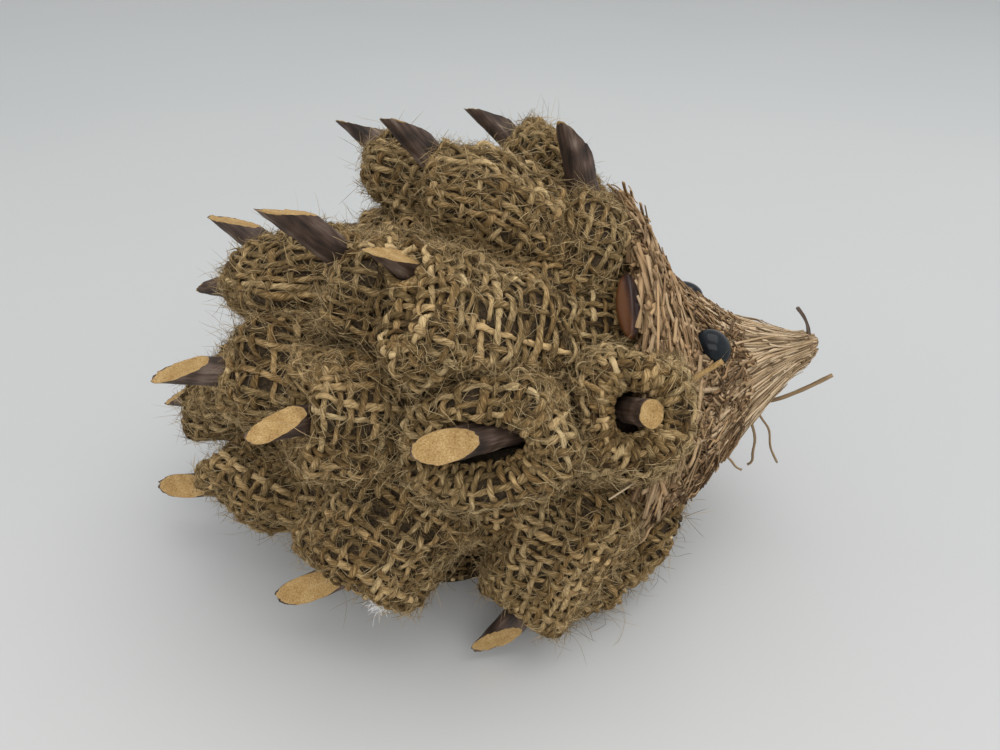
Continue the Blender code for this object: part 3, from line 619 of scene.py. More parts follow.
def pouch_surface(i):
    me = spines[i]
    s = resample(squeeze(i), NT, NU)
    t, phi = np.linspace(0, 1, NT), -TAU * np.arange(NU) / NU
    C, D = section(me, t, phi)
    outer = C + D * s[..., None]
    # the lip: the cloth turns in over a fat roll and runs back inside the mouth
    C1, T1, S1, U1 = (x[-1] for x in me.frames(np.array([0.0, 1.0])))
    edge = D[-1] * s[-1][:, None]
    a1, b1 = me.size(np.array(1.0))
    rho = min(me.roll, (b1 - me.gap) / 2)
    cx, cy = power(np.cos(phi), 0.9), power(np.sin(phi), 0.9)
    a_in = max(a1 - 2 * me.roll, 3.6)
    inner = S1 * (a_in * cx)[:, None] + U1 * (me.gap * cy)[:, None]
    inner = inner * np.minimum(1.0, s[-1])[:, None] + T1 * (edge @ T1)[:, None]
    q = np.linspace(0, 1, NQ + 1)[1:, None, None]
    w = (1 - np.cos(math.pi * q)) / 2
    rolled = C1 + edge * (1 - w) + inner * w + T1 * (1.25 * rho * np.sin(math.pi * q))
    back = C1 + inner * 0.96 - T1 * (np.linspace(0, 6.0, NI + 1)[1:, None, None])
    G = np.concatenate([outer, rolled, back])
    wave, crease = Waves(me.seed, 13.0), Waves(me.seed + 50, 6.0)
    for _ in range(2):
        N = normals(G)
        amount = me.wrinkle * (wave(G) + 0.4 * crease(G)) * 0.85
        amount[NT + NQ // 2 :] *= 0.3
        G = G + N * amount[..., None]
        amount = None
        break
    G = clear_of_twigs(G, 4.25)
    G = soft_floor(G, 1.75)
    for _ in range(2):
        G = (G * 2 + np.roll(G, 1, 1) + np.roll(G, -1, 1)) / 4
        G[1:-1] = (G[1:-1] * 2 + G[:-2] + G[2:]) / 4
    return G


def soft_floor(G, least):
    z = G[..., 2]
    k = 2.0
    low = z < least + k
    x = np.clip((z - (least - k)) / (2 * k), 0, 1)
    G = G.copy()
    G[..., 2] = np.where(low, least + k * x * x, z)
    return G


class Cloth:
    """A grid of points, read between them by turn (0..1 round, or 0..1 across) and by distance along."""

    def __init__(self, G, wrap=True):
        self.G, self.N, self.wrap = G, normals(G, wrap), wrap
        step = np.linalg.norm(np.diff(G, axis=0), axis=-1).mean(1)
        self.along = np.concatenate([[0], np.cumsum(step)])
        self.length = self.along[-1]
        ring = np.linalg.norm((np.roll(G, -1, 1) - G) if wrap else np.diff(G, axis=1), axis=-1).sum(1)
        self.round = ring

    def at(self, u, v):
        nv, nu, _ = self.G.shape
        vi = np.interp(v, self.along, np.arange(nv))
        i = np.clip(vi.astype(int), 0, nv - 2)
        fv = (vi - i)[..., None]
        if self.wrap:
            ui = (u % 1.0) * nu
            j = ui.astype(int) % nu
            j2 = (j + 1) % nu
        else:
            ui = np.clip(u, 0, 1) * (nu - 1)
            j = np.clip(ui.astype(int), 0, nu - 2)
            j2 = j + 1
        fu = (ui - np.floor(ui))[..., None] if self.wrap else (ui - j)[..., None]
        out = []
        for F in (self.G, self.N):
            out.append((F[i, j] * (1 - fv) + F[i + 1, j] * fv) * (1 - fu) + (F[i, j2] * (1 - fv) + F[i + 1, j2] * fv) * fu)
        return out[0], unit(out[1])


def yarn_tint(rng, m, n, spread=0.10):
    base = rng.normal(0.5, spread, (m, 1)) + wander(rng, m, n, max(4, n // 8), 0.10)
    warm = np.clip(rng.normal(0.4, 0.3, (m, 1)), 0, 1) + np.zeros((m, n))
    return np.stack([np.clip(base, 0, 1), warm, rng.uniform(0, 1, (m, 1)) + np.zeros((m, n)), np.ones((m, n))], -1)


def weave(batch, cloth, rng, skew, step=0.66, sides=6, mid=None, keep=None, pitch=PITCH, hold=1.75, until=None):
    """Warp and weft over the cloth, each over one and under the next."""
    ring = mid or float(np.percentile(cloth.round, 85))
    K = max(4, int(round(ring / pitch / 2)) * 2)
    until = until or cloth.length
    rows = max(3, int(round(until / pitch)))
    gap = until / rows
    lines = []
    for kind in ("warp", "weft"):
        if kind == "warp":
            m, n = K, max(8, int(until / step))
            v = np.broadcast_to(np.linspace(0.2, until - 0.2, n), (m, n))
            u = ((np.arange(m) + 0.5) / K)[:, None] + skew * (v / cloth.length - 0.5) + wander(rng, m, n, 7, 0.13 / K) + wander(rng, m, n, 18, 0.07 / K)
            swing = WEAVE * np.where(np.arange(m) % 2, -1, 1)[:, None] * np.cos(math.pi * (v / gap - 0.5))
        else:
            m, n = rows, max(8, int(ring * 1.05 / step))
            span = 1.0 if cloth.wrap else 1.0
            u = np.broadcast_to(np.linspace(0, span, n), (m, n)) + (0.25 if cloth.wrap else 0.0) * 3
            v = ((np.arange(m) + 0.5) * gap)[:, None] + wander(rng, m, n, 8, 0.12 * gap) + wander(rng, m, n, 26, 0.07 * gap)
            if cloth.wrap:
                u = u + rng.uniform(-0.01, 0.01, (m, 1))
            v = np.clip(v, 0.05, until - 0.05)
            w = u - skew * (v / cloth.length - 0.5)
            swing = -WEAVE * np.where(np.arange(m) % 2, -1, 1)[:, None] * np.cos(math.pi * (w * K - 0.5))
        P, N = cloth.at(u, v)
        P = P + N * (swing + wander(rng, m, n, 8, 0.10))[..., None]
        P[..., 2] = np.maximum(P[..., 2], hold - 0.9)
        R = YARN_R * (1 + wander(rng, m, n, max(5, n // 6), 0.17)) * rng.normal(1, 0.10, (m, 1))
        R = np.clip(R, 0.34, 0.85)
        hide = None
        if keep is not None:
            middle = (P[:, 1:] + P[:, :-1]) / 2
            hide = keep(middle.reshape(-1, 3)).reshape(middle.shape[:2])
        tubes(batch, P, R, N, sides, (0.80, 1.24), 0.16, 5.5, yarn_tint(rng, m, n), 0, rng, hide)
        lines.append((P, N, np.ones((m, n - 1), bool) if hide is None else hide))
    return K, rows, lines


def hairs(batch, P0, N0, rng, length, radius, lift, curl, stations=6, mat=1, droop=0.0, hold=0.3, light=0.5):
    """Fine loose fibres that start at P0 and wander off along and above the cloth."""
    m = len(P0)
    side = rng.normal(size=(m, 3))
    side = unit(side - N0 * (side * N0).sum(-1, keepdims=True))
    lean = rng.beta(1.2, 2.6, (m, 1)) * lift
    d = unit(side + N0 * (lean + 0.12))
    L = length * np.clip(rng.lognormal(0, 0.5, (m, 1)), 0.3, 3.2)
    bend = rng.normal(size=(m, 3)) * curl
    pts = [P0]
    p = P0
    step = L / (stations - 1)
    for _ in range(stations - 1):
        d = unit(d + bend * 0.30 + rng.normal(size=(m, 3)) * 0.16 - N0 * 0.10 * lean - vec(0, 0, droop))
        p = p + d * step
        pts.append(p)
    P = np.stack(pts, 1)
    P[..., 2] = np.maximum(P[..., 2], hold)
    fits = ((P > BOX_LOW) & (P < BOX_HIGH)).all((1, 2))
    P, m = P[fits], int(fits.sum())
    taper = np.array([0.9] + [1.0] * (stations - 2) + [0.25])
    R = radius * rng.uniform(0.7, 1.35, (m, 1)) * taper
    tint = np.stack([np.clip(rng.normal(light, 0.22, (m, 1)), 0, 1) + np.zeros((m, stations)), np.clip(rng.normal(0.35, 0.3, (m, 1)), 0, 1) + np.zeros((m, stations)), np.zeros((m, stations)), np.ones((m, stations))], -1)
    tubes(batch, P, R, None, 3, (1, 1), 0, 40, tint, mat, rng)


def yarn_fibres(batch, lines, rng, count, hold=0.3):
    """Short fibres that have worked loose from the twist: they start on a yarn, follow it and lift off a little."""
    for P, N, shown in lines:
        m = int(count / 2)
        T = unit(np.gradient(P, axis=1))
        rows, at = rng.integers(0, P.shape[0], m * 2), rng.integers(1, P.shape[1] - 1, m * 2)
        good = shown[rows, np.minimum(at, shown.shape[1] - 1)]
        rows, at = rows[good][:m], at[good][:m]
        p, n, t = P[rows, at], N[rows, at], T[rows, at]
        b = np.cross(t, n)
        m = len(p)
        sway = rng.uniform(-1, 1, (m, 1))
        d = unit(t * rng.choice((-1.0, 1.0), (m, 1)) + n * rng.uniform(0.0, 0.40, (m, 1)) + b * rng.normal(0, 0.5, (m, 1)))
        p = p + b * sway * YARN_R * 0.8 + n * (YARN_R * 0.85 * np.sqrt(1 - 0.6 * sway**2))
        L = rng.uniform(1.4, 4.6, (m, 1)) / 3
        bend = b * rng.normal(0, 0.28, (m, 1)) - n * rng.uniform(0.02, 0.22, (m, 1))
        pts = [p]
        for _ in range(3):
            d = unit(d + bend * 1.3 + rng.normal(size=(m, 3)) * 0.12)
            p = p + d * L
            pts.append(p)
        Q = np.stack(pts, 1)
        Q[..., 2] = np.maximum(Q[..., 2], hold)
        R = 0.044 * rng.uniform(0.7, 1.5, (m, 1)) * np.array([0.8, 1, 1, 0.35])
        tint = np.stack([np.clip(rng.normal(0.62, 0.24, (m, 1)), 0, 1) + np.zeros((m, 4)), np.clip(rng.normal(0.35, 0.3, (m, 1)), 0, 1) + np.zeros((m, 4)), np.zeros((m, 4)), np.ones((m, 4))], -1)
        tubes(batch, Q, R, None, 3, (1, 1), 0, 40, tint, 1, rng, caps=False)


def inside_any(P, skip=None, least=0.72):
    hidden = np.zeros(len(P), bool)
    for o in spines:
        if o is skip:
            continue
        close = (np.abs(P - o.C.mean(0)) < 42).all(1)
        if not close.any():
            continue
        r, _ = o.rho(P[close])
        hidden[close] |= r < least
    return hidden


def in_body(P, margin):
    r = table(BODY, P[:, 0])
    return (off_axis(P) < r - margin) & (P[:, 0] > -40) & (P[:, 0] < 43)


HAIRS = 900
cloths = []
for i, me in enumerate(spines):
    rng = np.random.default_rng(me.seed)
    G = pouch_surface(i)
    cloth = Cloth(G)
    # the dark sheet just inside the yarns carries painted shade for the holes of the weave
    ground = Batch()
    inner = G - cloth.N * 0.85
    inner[..., 2] = np.maximum(inner[..., 2], 0.55)
    sheet_mesh(ground, inner[::2, ::2] if inner.shape[0] % 2 else np.concatenate([inner[:-1:2, ::2], inner[-1:, ::2]]), wrap=True)
    sheet = ground.build("pouch_cloth_" + me.name, [LINING_AND_SHADE])
    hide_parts("pouch_" + me.name)

    threads = Batch()
    visible = lambda P, me=me: ~(in_body(P, 3.0) | inside_any(P, me, 0.55))
    K, rows, lines = weave(threads, cloth, rng, me.skew, keep=visible, until=float(cloth.along[NT + NQ - 1]) + 0.6)
    # loose fibres start on the yarns that show
    limit = cloth.along[NT + NQ // 2]
    for (P, N, shown), part in zip(lines, (0, 1)):
        share = float(limit / (cloth.along[NT + NQ - 1] + 0.6))
        if part == 0:
            shown[:, int(share * shown.shape[1]) :] = False
        else:
            shown[int(share * shown.shape[0]) :] = False
    m = HAIRS
    v = rng.uniform(0, 1, m) ** 0.8 * limit
    u = rng.uniform(0, 1, m)
    P0, N0 = cloth.at(u, v)
    seen = ~(in_body(P0, 0.0) | inside_any(P0, me, 1.0))
    P0, N0 = P0[seen], N0[seen]
    hairs(threads, P0 + N0 * rng.uniform(0.3, 0.9, (len(P0), 1)), N0, rng, 3.2, 0.031, 0.5, 2.2, stations=5)
    yarn_fibres(threads, lines, rng, int(HAIRS * 3.0))
    few = rng.integers(0, len(P0), 9)
    hairs(threads, P0[few] + N0[few] * 0.8, N0[few], rng, 9.0, 0.038, 0.5, 1.0, stations=14, light=0.7)
    yarn = threads.build("pouch_weave_" + me.name, [JUTE, FUZZ])
    cut = (float(cloth.round.mean()) * MM, float(cloth.length) * MM)
    cloths.append((me, cloth, sheet, yarn, cut))

# ---------------------------------------------------------------- the twigs
for me in spines:
    rng = np.random.default_rng(900 + me.seed)
    sides, rings = 40, 26
    radius = TWIG_SIZE.get(me.name, 2.9)
    facing = me.facing + vec(*TURN.get(me.name, (0, 0, 0)))
    facing = unit(facing - me.way * facing.dot(me.way))
    ref = facing
    B = np.cross(me.way, ref)
    th = TAU * np.arange(sides) / sides
    ridge = sum(rng.normal(0, 1) * np.cos(k * th + rng.uniform(0, TAU)) / k for k in range(2, 9)) * 0.055
    slant = math.radians(me.slant * 1.14 if me.slant < 60 else 72)
    nrm = unit(facing * math.cos(slant) + me.way * math.sin(slant))
    tip = me.mouth + me.way * (me.out - (1.5 if me.name == "13" else 0)) - facing * radius * 0.98
    # distance along the twig where the cut plane meets each side
    rim = me.mouth + (np.cos(th)[:, None] * ref + np.sin(th)[:, None] * B) * radius
    end = ((tip - rim) @ nrm) / (me.way @ nrm)
    end = np.minimum(end, me.out)
    rough = rng.normal(0, 0.16, sides) + 0.25 * np.sin(3 * th + rng.uniform(0, 6)) * rng.uniform(0, 1)
    f = np.linspace(0, 1, rings)[:, None] ** 0.9
    s = -me.sink + (end + rough + me.sink) * f
    knot = Waves(me.seed + 7, 4.0)
    centre = me.mouth + s[..., None] * me.way
    out = np.cos(th)[:, None] * ref + np.sin(th)[:, None] * B
    flat_p = centre + out * TWIG_R
    r = radius * (0.985 + 0.0 * s) + ridge + 0.05 * knot(flat_p * vec(1, 1, 1))
    P = centre + out * r[..., None]
    batch = Batch()
    loops = np.array([(i * sides + j, i * sides + (j + 1) % sides, (i + 1) * sides + (j + 1) % sides, (i + 1) * sides + j) for i in range(rings - 1) for j in range(sides)])
    uv = np.array([((i, j / sides), (i, (j + 1) / sides), (i + 1, (j + 1) / sides), (i + 1, j / sides)) for i in range(rings - 1) for j in range(sides)], float)
    si = (s - s.min()).reshape(rings, sides)
    uv = uv.reshape(rings - 1, sides, 4, 2)
    jj, jn = np.arange(sides), (np.arange(sides) + 1) % sides
    for k, (di, cols) in enumerate(((0, jj), (0, jn), (1, jn), (1, jj))):
        uv[:, :, k, 0] = si[di : rings - 1 + di][:, cols] + 37.0 * int(me.name)
    tone = np.stack([np.clip(0.5 + 0.2 * knot(P * 0.8), 0, 1), 0 * s, 0 * s, 0 * s + 1], -1)
    batch.add(P, np.concatenate([loops.ravel(), np.arange(sides)[::-1]]), np.concatenate([np.full(len(loops), 4), [sides]]), np.concatenate([uv.reshape(-1, 2), np.zeros((sides, 2))]), tone, 0)
    # the cut face, a little below the bark's ragged edge
    last = P[-1]
    mid = last.mean(0)
    fade = np.array([1.0, 0.985, 0.93, 0.8, 0.6, 0.4, 0.2])
    grain = Waves(me.seed + 11, 1.3)
    F = mid + (last - mid) * fade[:, None, None]
    on = ((F - tip) @ nrm)[..., None]
    F = F - nrm * on * np.clip((1 - fade) * 12, 0, 1)[:, None, None]
    F[1:] -= nrm * (0.10 + 0.05 * grain(F[1:]))[..., None]
    F = np.concatenate([F.reshape(-1, 3), (mid - nrm * ((mid - tip) @ nrm))[None] - nrm * 0.1])
    rows_ = len(fade)
    q = np.array([(i * sides + j, i * sides + (j + 1) % sides, (i + 1) * sides + (j + 1) % sides, (i + 1) * sides + j) for i in range(rows_ - 1) for j in range(sides)])
    tri = np.array([((rows_ - 1) * sides + j, (rows_ - 1) * sides + (j + 1) % sides, rows_ * sides) for j in range(sides)])
    shade = np.concatenate([np.repeat([1.0, 0.65, 0.12, 0, 0, 0, 0], sides), [0]])
    tone = np.stack([shade, 0 * shade, 0 * shade, 0 * shade + 1], -1)
    batch.add(F, np.concatenate([q.ravel(), tri.ravel()]), np.concatenate([np.full(len(q), 4), np.full(len(tri), 3)]), None, tone, 1)
    twig = batch.build("cut_twig_" + me.name, [BARK, WOOD])
    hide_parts("twig_" + me.name)

# ---------------------------------------------------------------- the body's skin and filling
t = np.concatenate([[0.0005, 0.004, 0.008], np.linspace(0.015, 1, 61)])
xs = -41 + 84 * t
phi = TAU * np.arange(160) / 160
r = table(BODY, xs)
skin = np.stack([np.broadcast_to(xs[:, None], (64, 160)), r[:, None] * np.cos(phi), AXIS_Z + r[:, None] * np.sin(phi)], -1)
skin = soft_floor(skin, 1.6)[:, ::-1]
skin_cloth = Cloth(skin)
if (skin_cloth.N[30, :, :] * (skin[30] - vec(skin[30, 0, 0], 0, AXIS_Z))).sum() < 0:
    skin = skin[:, ::-1]
    skin_cloth = Cloth(skin)
ground = Batch()
sheet_mesh(ground, (skin - skin_cloth.N * 0.85)[::2, ::2], wrap=True)
body_sheet = ground.build("body_cloth", [LINING_AND_SHADE])
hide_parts("body_cover")
threads = Batch()
rng = np.random.default_rng(5)
weave(threads, skin_cloth, rng, 0.01, step=1.0, sides=5, mid=float(skin_cloth.round.max()), keep=lambda P: ~(inside_any(P, None, 0.8)) & (P[:, 2] > 2.2) & (off_axis(P) > 12.0))
# the end behind, where the cloth is flat and its yarns run square
line = np.linspace(-14.0, 14.0, 25)
gy, gz = np.meshgrid(line, line)
gx = np.interp(np.hypot(gy, gz), (0, 8, 17, 26), (-41.0, -40.0, -36.0, -29.0))
rump = Cloth(np.stack([gx, gy, gz + AXIS_Z], -1), wrap=False)
if rump.N[12, 12, 0] > 0:
    rump = Cloth(np.stack([gx, gy, gz + AXIS_Z], -1)[:, ::-1], wrap=False)
_, _, lines = weave(threads, rump, rng, 0.0, step=0.8, sides=5, mid=28.0, keep=lambda P: off_axis(P) < 13.4)
yarn_fibres(threads, lines, rng, 500)
body_weave = threads.build("body_weave", [JUTE, FUZZ])

for side, sign in (("right", 1.0), ("left", -1.0)):
    knots = np.array(((55.0, -14.0, 15.0), (53.5, -21.5, 18.5), (49.0, -28.5, 14.5), (41.5, -35.0, 9.0), (33.0, -39.0, 5.6), (24.0, -40.0, 4.6)))
    d = np.concatenate([[0], np.cumsum(np.linalg.norm(np.diff(knots, axis=0), axis=1))])
    f = np.linspace(0, d[-1], 60)
    line = np.stack([np.interp(f, d, knots[:, k]) for k in range(3)], -1)
    for _ in range(40):
        line[1:-1] = (line[:-2] + 2 * line[1:-1] + line[2:]) / 4
    line[:, 1] *= sign
    T = unit(np.gradient(line, axis=0))
    A = unit(vec(0, 0, 1) - T * T[:, 2:3])
    B = np.cross(T, A)
    around = -sign * TAU * np.arange(40) / 40
    fat = (3.7 * np.sqrt(np.clip(1 - (2 * np.linspace(0, 1, 60) - 1) ** 8, 0.02, 1)))[:, None, None]
    G = line[:, None] + fat * (np.cos(around)[:, None] * A[:, None] + np.sin(around)[:, None] * B[:, None] * sign)
    G = G + normals(G) * (0.6 * Waves(61, 9.0)(G))[..., None]
    G = soft_floor(G, 1.6)
    hem_cloth = Cloth(G)
    if ((G[30] - line[30]) * hem_cloth.N[30]).sum() < 0:
        hem_cloth = Cloth(G[:, ::-1])
    batch = Batch()
    inner = hem_cloth.G - hem_cloth.N * 0.85
    inner[..., 2] = np.maximum(inner[..., 2], 0.55)
    sheet_mesh(batch, inner[:, ::2], wrap=True, mat=0)
    rng = np.random.default_rng(62)
    K, rows, lines = weave(batch, hem_cloth, rng, 0.35, mid=24.0, pitch=2.3)
    yarn_fibres(batch, lines, rng, 900)
    v, u = rng.uniform(0, hem_cloth.length, 700), rng.uniform(0, 1, 700)
    P0, N0 = hem_cloth.at(u, v)
    hairs(batch, P0 + N0 * 0.7, N0, rng, 4.0, 0.040, 0.75, 1.5, mat=2)
    batch.m = [np.zeros_like(batch.m[0])] + [np.ones_like(x) if x[0] == 0 else np.full_like(x, 2) for x in batch.m[1:]]
    batch.build("hem_roll_" + side, [LINING_AND_SHADE, JUTE, FUZZ])

lump = Waves(8, 15.0)
fill_r = np.maximum(r - 2.6, 0.4)
fill = np.stack([np.broadcast_to(np.clip(xs, -39.3, 41.8)[:, None], (64, 160)), fill_r[:, None] * np.cos(phi), AXIS_Z + fill_r[:, None] * np.sin(phi)], -1)[::2, ::4]
fill = soft_floor(fill, 3.4)
fill = fill - unit(fill - vec(0, 0, AXIS_Z)) * (0.4 + 0.4 * lump(fill))[..., None]
batch = Batch()
sheet_mesh(batch, fill, wrap=True)
n_ = fill.shape[1]
batch.l.append(np.concatenate([np.arange(n_)[::-1], (fill.shape[0] - 1) * n_ + np.arange(n_)]))
batch.z.append(np.array([n_, n_]))
batch.uv.append(np.zeros((2 * n_, 2)))
batch.m.append(np.zeros(2))
body_filling = batch.build("body_filling", [FILLING])
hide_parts("foam_core")

# the patch under the body
rad = np.linspace(0.02, 1, 14)[:, None] * 28.6
disc = np.stack([rad * np.cos(phi[::2]), rad * np.sin(phi[::2]), 0.62 + 0 * rad * phi[::2]], -1)
weft = 0.16 * np.sin(disc[..., 0] * TAU / PITCH) * np.cos(disc[..., 1] * TAU / PITCH)
disc[..., 2] += weft
batch = Batch()
sheet_mesh(batch, disc, wrap=True)
base_sheet = batch.build("base_cloth", [LINING_AND_SHADE])
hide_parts("base_patch")
threads = Batch()
line = np.linspace(-28.4, 28.4, 21)
gx, gy = np.meshgrid(line, line)
under_cloth = Cloth(np.stack([gx, gy, 1.15 + 0 * gx], -1), wrap=False)
rng = np.random.default_rng(6)
_, _, lines = weave(threads, under_cloth, rng, 0.0, step=0.9, sides=5, mid=56.8, keep=lambda P: np.hypot(P[:, 0], P[:, 1]) < 28.4, hold=1.35)
yarn_fibres(threads, lines, rng, 1200)
base_weave = threads.build("base_weave", [JUTE, FUZZ])


# ---------------------------------------------------------------- the straw head
def head_at(x, psi, h):
    r = table(HEAD_R, x) + h
    y, z = r * np.cos(psi), r * np.sin(psi)
    z = np.where(z < 0, z * table(CHIN, x), z * table(CROWN, x))
    P = np.stack([x + 0 * y, y, table(HEAD_AXIS, x) + z], -1)
    slope = (table(HEAD_R, x + 1.5) - table(HEAD_R, x - 1.5)) / 3.0
    N = unit(np.stack([-slope + 0 * y, np.cos(psi) + 0 * y, np.sin(psi) + 0 * y], -1))
    return P, N


xs = np.concatenate([np.linspace(42.5, 84, 40), [86.5, 88.0]])
psi = TAU * np.arange(90) / 90
P, N = head_at(xs[:, None], psi[None], -1.6 + 0 * xs[:, None])
rough = Waves(31, 3.0)
P = P + N * (0.35 * rough(P))[..., None]
batch = Batch()
sheet_mesh(batch, P[:, ::-1], wrap=True, flip=True)
for ring_, order in ((0, 1), (len(xs) - 1, -1)):
    idx = ring_ * 90 + np.arange(90)[::order]
    batch.l.append(idx)
    batch.z.append(np.array([90]))
    batch.uv.append(np.zeros((90, 2)))
    batch.m.append(np.zeros(1))
under = batch.build("straw_bundle_core", [UNDER_AND_SHADE])
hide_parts("head_core")


def straws(batch, rng, x0, x1, psi, h, width, thick, flare, drift=0.05, stations=9, sides=6, mat=0, tone=0.5, spread=0.2, tip=True, warm=0.35, wobble=0.25):
    """Straws that lie on the head along its meridians from x0 to x1."""
    m = len(x0)
    f = np.linspace(0, 1, stations)[None]
    x = x0[:, None] + (x1 - x0)[:, None] * f
    a = psi[:, None] + rng.normal(0, drift, (m, 1)) * (1 - f) + wander(rng, m, stations, 4, 0.012)
    run = x - x0[:, None]
    lift = h[:, None] + flare[:, None] * np.exp(-run / 4.5) + wander(rng, m, stations, 4, wobble)
    P, N = head_at(x, a, lift)
    P[..., 2] = np.maximum(P[..., 2], 0.6)
    clear = np.ones(m, bool)
    for sign in (-1, 1):
        clear &= np.linalg.norm(P - vec(60.8, sign * 14.4, 57.0), axis=-1).min(1) > 3.7
    P, N, x, width, m = P[clear], N[clear], x[clear], width[clear], int(clear.sum())
    taper = 0.42 + 0.58 * np.clip(table(HEAD_R, x) / 16, 0, 1)
    R = width[:, None] * taper / 2
    base = np.clip(tone + rng.normal(0, spread, (m, 1)), 0, 1) + np.zeros((m, stations))
    tint = np.stack([base, np.clip(rng.normal(warm, 0.3, (m, 1)), 0, 1) + 0 * base, 0 * base, 1 + 0 * base], -1)
    tubes(batch, P, R, N, sides, (thick, 1.0), 0, 5, tint, mat, rng)


def along(x, length):
    """How far x moves on when a chip of that length lies on the head's slope there."""
    steep = np.abs(table(HEAD_R, x + 0.6) - table(HEAD_R, x - 0.6)) / 1.2
    return length / np.sqrt(1 + steep**2)


rng = np.random.default_rng(77)
batch = Batch()
m = 760
straws(batch, rng, rng.uniform(54, 70, m), rng.uniform(80, 86.5, m), rng.uniform(0, TAU, m), rng.uniform(-0.5, 0.7, m), rng.uniform(0.55, 1.35, m), 0.42, rng.uniform(0, 0.9, m), stations=14, tone=0.60, spread=0.20, sides=5)
m = 420
straws(batch, rng, rng.uniform(60, 76, m), rng.uniform(79, 86, m), rng.uniform(0, TAU, m), rng.uniform(0.3, 1.2, m), rng.uniform(0.35, 0.8, m), 0.5, rng.uniform(0, 0.8, m), stations=12, tone=0.68, spread=0.22, sides=5, drift=0.09)
muzzle = batch.build("straw_snout", [STRAW])
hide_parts("straw_muzzle")

batch = Batch()
m = 4950
x0 = 39.6 + 29.4 * rng.uniform(0, 1, m) ** 1.2
neck = 1 - smooth((x0 - 45) / 12)
psi0 = rng.uniform(0, TAU, m)
straws(batch, rng, x0, x0 + along(x0, rng.uniform(1.8, 5.6, m) * (1 - 0.25 * neck)), psi0, rng.uniform(-0.6, 0.9, m), rng.uniform(0.30, 0.85, m) * (1 + 0.65 * neck), 0.5, rng.uniform(0.0, 1.8, m), stations=4, sides=4, tone=0.47, spread=0.26, drift=0.16, warm=0.5)
m = 420
x0 = rng.uniform(39.8, 46.5, m)
straws(batch, rng, x0, x0 + along(x0, rng.uniform(2.0, 4.6, m)), rng.uniform(0, TAU, m), rng.uniform(-0.3, 0.8, m), rng.uniform(0.6, 1.5, m), 0.5, rng.uniform(0.8, 4.2, m), stations=6, sides=5, tone=0.66, spread=0.25, drift=0.2, warm=0.5)
m = 500
x0 = rng.uniform(40.5, 55, m)
straws(batch, rng, x0, x0 + along(x0, rng.uniform(1.8, 4.2, m)), rng.uniform(0.12, math.pi - 0.12, m), rng.uniform(0.0, 0.8, m), rng.uniform(0.5, 1.3, m), 0.5, rng.uniform(1.0, 3.4, m) * (1 + 1.0 * smooth((50 - x0) / 6)), stations=6, sides=5, tone=0.72, spread=0.22, drift=0.2, warm=0.4)
ruff = batch.build("straw_collar", [CHIP])
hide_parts("straw_ruff")

# ---------------------------------------------------------------- nose
batch = Batch()
turns = 3.2
f = np.linspace(0, 1, 130)
x = 84.2 + 2.6 * f
P, N = head_at(x, TAU * turns * f, 0.35 + 0 * f)
tubes(batch, P[None], np.full((1, 130), 0.42), N[None], 6, (0.8, 1.2), 0.12, 3.0, np.tile([0.35, 0.1, 0, 1], (1, 130, 1)), 0, np.random.default_rng(3))
m = 60
rng = np.random.default_rng(78)
straws(batch, rng, np.full(m, 82.0), rng.uniform(87.6, 88.6, m), rng.uniform(0, TAU, m), rng.uniform(-0.4, 0.1, m), rng.uniform(0.9, 1.5, m), 0.5, np.zeros(m), stations=8, tone=0.45, spread=0.15)
nose = batch.build("nose_wrap", [STRAW])
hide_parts("nose_binding")

batch = Batch()
f = np.linspace(0, 1, 14)[:, None]
P = vec(86.4, 0, 50.4) * (1 - f) + vec(82.2, 0, 57.9) * f + vec(1, 0.2, 0.2) * np.sin(math.pi * f) * 0.7
R = 0.42 * (1 - 0.15 * f[:, 0]) * (1 + 0.08 * np.sin(9 * f[:, 0]))
R[-2:] *= 1.25
tubes(batch, P[None], R[None], None, 9, (1, 0.85), 0.08, 9.0, np.tile([0.85, 0, 0, 1], (1, 14, 1)), 0, np.random.default_rng(4))
stem = batch.build("nose_twiglet", [BARK])
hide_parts("nose_stem")

# ---------------------------------------------------------------- stray bits
def strand(batch, points, radius, tone, flat=(1, 1), sides=6, mat=0, warm=0.2, n=16, seed=1):
    """One strand on a smooth line through the points, ending blunt."""
    p = np.array(points, float)
    d = np.concatenate([[0], np.cumsum(np.linalg.norm(np.diff(p, axis=0), axis=1))])
    f = np.linspace(0, d[-1], n)
    q = np.stack([np.interp(f, d, p[:, k]) for k in range(3)], -1)
    for _ in range(3 if len(p) > 2 else 0):
        q[1:-1] = (q[:-2] + 2 * q[1:-1] + q[2:]) / 4
    tubes(batch, q[None], np.full((1, n), radius), None, sides, flat, 0.05, 9.0, np.tile([tone, warm, 0, 1], (1, n, 1)), mat, np.random.default_rng(seed))


batch = Batch()
strand(batch, ((50.5, -25.5, 52.6), (58.9, -25.0, 58.9)), 0.70, 0.0, (0.6, 1.0), 8, mat=1, seed=11)
strand(batch, ((75.0, -4.5, 35.0), (79.5, -6.5, 37.2), (84.5, -8.0, 41.2), (89.6, -9.0, 45.6)), 0.62, 0.42, (0.7, 1.0), 8, seed=12)
strand(batch, ((73.0, -5, 34.0), (75.4, -6, 29.5), (77.0, -6, 25.0), (76.6, -6, 20.5), (78.0, -6, 18.2), (76.2, -6, 17.6)), 0.34, 0.35, seed=13)
strand(batch, ((75.5, -4.5, 34.5), (77.6, -5, 30.5), (80.2, -5, 28.0), (81.0, -5, 22.5), (83.8, -5, 17.6)), 0.40, 0.4, (0.7, 1.0), seed=14)
strand(batch, ((66.5, -7, 23.5), (71.5, -7, 20.0), (73.0, -7, 17.5), (74.6, -7, 16.8)), 0.3, 0.4, seed=15)
strand(batch, ((35.2, -46, 41.5), (40.5, -45, 45.2), (45.6, -42, 49.6)), 0.20, 0.95, seed=16)
